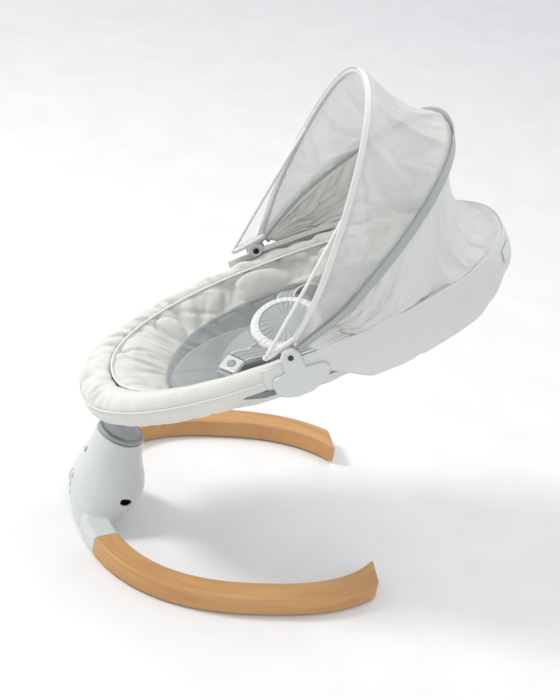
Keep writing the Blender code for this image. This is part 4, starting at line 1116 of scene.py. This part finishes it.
# inner hem band at the foot of the canopy, both sides
for sgn, word in ((-1, "near"), (1, "far")):
    A = np.linspace(sgn * angle_at(0.365, 0.93), sgn * angle_at(0.60, 0.93), 60)
    C0 = outline(A, 0.945, 0.0300)
    t_ = np.gradient(C0, axis=0)
    t_ /= np.linalg.norm(t_, axis=1, keepdims=True)
    outw = np.cross(t_, np.array(N))
    outw /= np.linalg.norm(outw, axis=1, keepdims=True)
    if float(np.mean(outw @ np.array(Y))) * sgn < 0:
        outw = -outw
    ob = ribbon(f"canopy_hem_{word}", C0, np.broadcast_to(np.array(N), C0.shape), outw, 0.0045, 0.0012, M["hem"])
    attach(ob, "swing")

# blank care label sewn on the head cover
la = np.linspace(-1, 1, 14)[:, None]
lb = np.linspace(-1, 1, 10)[None, :]
lab_a = -(math.pi - 0.30) + 0.085 * la
LPn = outline(lab_a + 0 * lb, 1.0165 + 0 * lb + 0 * la, 0.001 + 0.012 * lb + 0 * la)
ob = grid_object("care_label", LPn, M["label"])
solidify(ob, 0.0008, 0.0)
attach(ob, "swing")


# ------------------------------------------------------------------ wooden arms with fine curvature and grain
def ring_point(t):
    c, s = math.cos(t), math.sin(t)
    p_ = 2 / RING_N
    return Vector((RING_R - RING_R * math.copysign(abs(c) ** p_, c), RING_B * math.copysign(abs(s) ** p_, s), 0))


def ring_frame(t):
    d_ = 1e-3
    tan = (ring_point(t + d_) - ring_point(t - d_)).normalized()
    out = Vector((-tan.y, tan.x, 0))
    if out.dot(ring_point(t) - Vector((RING_R, 0, 0))) < 0:
        out = -out
    return ring_point(t), tan, out


def beam_profile(rt, rb, steps, inset=0.0):
    h = BEAM_W / 2 - inset
    corners = [(-h, BEAM_LOW, rb), (h + BEAM_DRAFT, BEAM_LOW, rb), (h, BEAM_TOP - inset, rt), (-h, BEAM_TOP - inset, rt)]
    pts = []
    for i, (x, z, r) in enumerate(corners):
        a_ = Vector((corners[i - 1][0] - x, corners[i - 1][1] - z)).normalized()
        b_ = Vector((corners[(i + 1) % 4][0] - x, corners[(i + 1) % 4][1] - z)).normalized()
        for k_ in range(steps):
            w_ = k_ / (steps - 1)
            p_ = Vector((x, z)) + a_ * r * (1 - w_) ** 2 + b_ * r * w_ ** 2
            pts.append((p_.x, p_.y))
    return pts


def cut_t(offset, x):
    lo, hi = 1.6, 2.9
    for _ in range(40):
        m = (lo + hi) / 2
        p_, tan, out = ring_frame(m)
        if (p_ + out * offset).x < x:
            lo = m
        else:
            hi = m
    return lo


for sgn, word in ((1, "left"), (-1, "right")):
    prof_ = beam_profile(0.0050, 0.0030, 7)
    ends = [cut_t(o, ARM_END_X) for o, z in prof_]
    per = [0.0]
    for (x0, z0), (x1, z1) in zip(prof_, prof_[1:]):
        per.append(per[-1] + math.hypot(x1 - x0, z1 - z0))
    ns = 150
    verts, uvs = [], []
    length = 0.0
    lastp = None
    for i in range(ns + 1):
        sh = i / ns
        mid_p = ring_frame(JOINT_T + 0.001 + (cut_t(0, ARM_END_X) - JOINT_T) * sh)[0]
        if lastp is not None:
            length += (mid_p - lastp).length
        lastp = mid_p
        for j, ((o, z), e_) in enumerate(zip(prof_, ends)):
            p_, tan, out = ring_frame(JOINT_T + 0.001 + (e_ - JOINT_T - 0.001) * sh)
            inset = 0.0012 * max(0.0, 1 - min(i, ns - i) / 2.0)
            zc, oc = (BEAM_LOW + BEAM_TOP) / 2, 0.0
            k_ = 1 - inset / 0.02
            q_ = p_ + out * (oc + (o - oc) * k_)
            verts.append((q_.x, sgn * q_.y, zc + (z - zc) * k_))
            uvs.append((length, per[j]))
    nc = len(prof_)
    faces = grid_faces(ns + 1, nc, False, True)
    faces += [tuple(reversed(range(nc))), tuple(range(ns * nc, (ns + 1) * nc))]
    arm = add_object(f"arm_{word}_beech", verts, faces, M["beech"])
    fix_normals(arm)
    uvl = arm.data.uv_layers.new(name="grain")
    for poly in arm.data.polygons:
        cap = len(poly.vertices) > 4
        for li in poly.loop_indices:
            vi = arm.data.loops[li].vertex_index
            if cap:
                v_ = arm.data.vertices[vi].co
                uvl.data[li].uv = (v_.y * 0.4, v_.z)
            else:
                lu, lv = uvs[vi]
                if vi % nc == 0 and any(arm.data.loops[k_].vertex_index % nc == nc - 1 for k_ in poly.loop_indices):
                    lv = per[-1] + 0.001
                uvl.data[li].uv = (lu + (3.0 if sgn > 0 else 0.0), lv)
    arm.data.shade_smooth()
    arm.data.set_sharp_from_angle(angle=math.radians(50))
    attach(arm, "base")
    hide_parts(f"arm_{word}")

# ------------------------------------------------------------------ moulded tower, one smooth skin with the foot band
TOWER = [
    (0.00, 0.004, 0.031, 0.080), (0.10, 0.004, 0.038, 0.081), (0.21, 0.006, 0.050, 0.080), (0.31, 0.010, 0.060, 0.077), (0.40, 0.012, 0.063, 0.072),
    (0.50, 0.012, 0.061, 0.066), (0.62, 0.010, 0.056, 0.058), (0.80, 0.004, 0.048, 0.048), (1.00, 0.000, 0.042, 0.042),
]
TT = np.array(TOWER)


def tower_rings(inset=0.0, low=BEAM_LOW, top=TOWER_LEN, n=96, steps=70):
    rings = []
    for i in range(steps + 1):
        h = low + (top - low) * i / steps
        share = h / TOWER_LEN
        off, ax, ay = [float(np.interp(share, TT[:, 0], TT[:, k])) for k in (1, 2, 3)]
        e = min(1.0, share / 0.85)
        lean = TOWER_LEAN * e * e * (3 - 2 * e)
        e1 = Vector((math.cos(lean), 0, -math.sin(lean)))
        c = AXIS * h + e1 * off
        if i == 0:
            c = Vector((c.x, 0, low))
        k = 2 / (2.5 - 0.5 * min(1, share))
        rings.append([c + e1 * ((ax - inset) * math.copysign(abs(math.cos(t)) ** k, math.cos(t))) + Vector((0, (ay - inset) * math.copysign(abs(math.sin(t)) ** k, math.sin(t)), 0)) for t in (2 * math.pi * j / n for j in range(n))])
    return rings


def ring_solid(name, rings, mat):
    n = len(rings[0])
    faces = grid_faces(len(rings), n, False, True) + [tuple(reversed(range(n))), tuple(range((len(rings) - 1) * n, len(rings) * n))]
    return fix_normals(add_object(name, [v for r in rings for v in r], faces, mat, smooth=False))


def band_rings(t0, t1, n, prof_):
    rings = []
    for i in range(n + 1):
        p_, tan, out = ring_frame(t0 + (t1 - t0) * i / n)
        rings.append([Vector(((p_ + out * o).x, (p_ + out * o).y, z)) for o, z in prof_])
    return rings


def square(half, low_, top_):
    return [(-half, low_), (half, low_), (half, top_), (-half, top_)]


def cut(ob, other, how="DIFFERENCE"):
    m = ob.modifiers.new("cut", "BOOLEAN")
    m.object = other
    m.operation = how
    m.solver = "MANIFOLD"
    apply_modifiers(ob)
    bpy.data.objects.remove(other, do_unlink=True)
    return ob


tower = ring_solid("tower_shell", tower_rings(), M["white_plastic"])
cut(tower, ring_solid("band", band_rings(-JOINT_T, JOINT_T, 60, beam_profile(0.0055, 0.003, 5)), M["white_plastic"]), "UNION")
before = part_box("base_housing")
m = tower.modifiers.new("remesh", "REMESH")
m.mode = "VOXEL"
m.voxel_size = 0.0015
apply_modifiers(tower)
co0 = coords_of(tower)
m = tower.modifiers.new("smooth", "SMOOTH")
m.factor, m.iterations = 0.5, 26
apply_modifiers(tower)
co1 = coords_of(tower)
keep = np.zeros(len(co0))
t_ring = np.arctan2(co0[:, 1], RING_R - co0[:, 0])
end_band = ease(np.abs(np.hypot(co0[:, 1], 0)), 0.118, 0.128)
low_z = 1 - ease(co0[:, 2], 0.0045, 0.009)
top_z = ease(co0 @ np.array(AXIS), 0.158, 0.1625)
keep = np.clip(np.maximum(np.maximum(end_band, low_z), top_z), 0, 1)[:, None]
co = co1 * (1 - keep) + co0 * keep
tower.data.vertices.foreach_set("co", co.astype(np.float32).ravel())
tower.data.update()
cut(tower, ring_solid("cav", tower_rings(WALL, low=-0.001, top=0.145, n=64, steps=30), M["white_plastic"]))
cut(tower, ring_solid("cavb", band_rings(-JOINT_T + 0.016, JOINT_T - 0.016, 30, square(BEAM_W / 2 - WALL, -0.001, BEAM_TOP - WALL)), M["white_plastic"]))
for sgn in (1, -1):
    t0, t1 = sorted((sgn * (JOINT_T - TENON_T - 0.004), sgn * (JOINT_T + 0.02)))
    cut(tower, ring_solid("sock", band_rings(t0, t1, 4, square(TENON_HALF + GAP, TENON_LOW - GAP, TENON_TOP + GAP)), M["white_plastic"]))


def disc(c, e1, e2, r, n=40, r2=None):
    r2 = r if r2 is None else r2
    return [c + e1 * (r * math.copysign(abs(math.cos(t)) ** (0.85 if r2 != r else 1), math.cos(t))) + e2 * (r2 * math.copysign(abs(math.sin(t)) ** (0.85 if r2 != r else 1), math.sin(t))) for t in (2 * math.pi * j / n for j in range(n))]


AX1 = Vector((math.cos(TOWER_LEAN), 0, -math.sin(TOWER_LEAN)))
cut(tower, ring_solid("bearing", [disc(AXIS * 0.120, AX1, Y, 0.0138), disc(AXIS * 0.180, AX1, Y, 0.0138)], M["white_plastic"]))
PANEL_N = Vector((-math.cos(math.radians(3)), 0, math.sin(math.radians(3))))
PANEL_UP = Vector((math.sin(math.radians(3)), 0, math.cos(math.radians(3))))
PANEL_C = Vector((-0.0355, 0, 0.052))
cut(tower, ring_solid("panelcut", [disc(PANEL_C + PANEL_N * h, Y, PANEL_UP, 0.0190, 40, 0.0265) for h in (-0.022, 0.030)], M["white_plastic"]))
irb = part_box("ir_window")
irc = (irb[0] + irb[1]) / 2
IR_N = Vector((-math.cos(math.radians(20)), 0, math.sin(math.radians(20))))
IR_UP = Vector((math.sin(math.radians(20)), 0, math.cos(math.radians(20))))
cut(tower, ring_solid("ircut", [disc(irc + IR_N * h, Y, IR_UP, 0.0036, 24, 0.0056) for h in (-0.012, 0.012)], M["white_plastic"]))
INLET_C = Vector((0.052, -0.064, 0.062))
INLET_N = Vector((0.42, -0.86, -0.28)).normalized()
IN_UP = (Vector((0.25, 0, 1)) - INLET_N * INLET_N.dot(Vector((0.25, 0, 1)))).normalized()
IN_Y = IN_UP.cross(INLET_N)
cut(tower, ring_solid("inletcut", [disc(INLET_C + INLET_N * h, IN_Y, IN_UP, 0.0115, 32, 0.0060) for h in (-0.014, 0.03)], M["white_plastic"]))
tower.data.shade_smooth()
tower.data.set_sharp_from_angle(angle=math.radians(32))
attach(tower, "base")
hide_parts("base_housing")

# ------------------------------------------------------------------ studio
def area_light(name, loc, target, size, power, colour=(1, 1, 1)):
    l = bpy.data.lights.new(name, "AREA")
    l.shape = "DISK"
    l.size = size
    l.energy = power
    l.color = colour
    o = bpy.data.objects.new(name, l)
    scene.collection.objects.link(o)
    o.location = loc
    o.rotation_euler = (Vector(target) - Vector(loc)).to_track_quat("-Z", "Y").to_euler()
    return o


floor = add_object("floor", [(-8, -8, 0), (8, -8, 0), (8, 8, 0), (-8, 8, 0)], [(0, 1, 2, 3)], plastic_material("floor_paint", (0.86, 0.86, 0.86), 0.7, 0.0, 0.0))
floor.location = (0, 0, -0.0002)
area_light("key", (-1.8, 0.5, 2.3), (0.3, 0, 0.4), 0.7, 47, (1.0, 0.99, 0.96))
area_light("fill", (0.6, -3.0, 1.6), (0.3, 0, 0.4), 2.2, 12, (0.97, 0.98, 1.0))
area_light("top", (1.4, 0.8, 2.8), (0.3, 0, 0.4), 1.8, 20, (1.0, 1.0, 1.0))
world = bpy.data.worlds.new("studio")
world.use_nodes = True
bg = world.node_tree.nodes["Background"]
bg.inputs["Color"].default_value = (0.95, 0.965, 1.0, 1)
bg.inputs["Strength"].default_value = 0.72
scene.world = world
scene.view_settings.view_transform = "Standard"
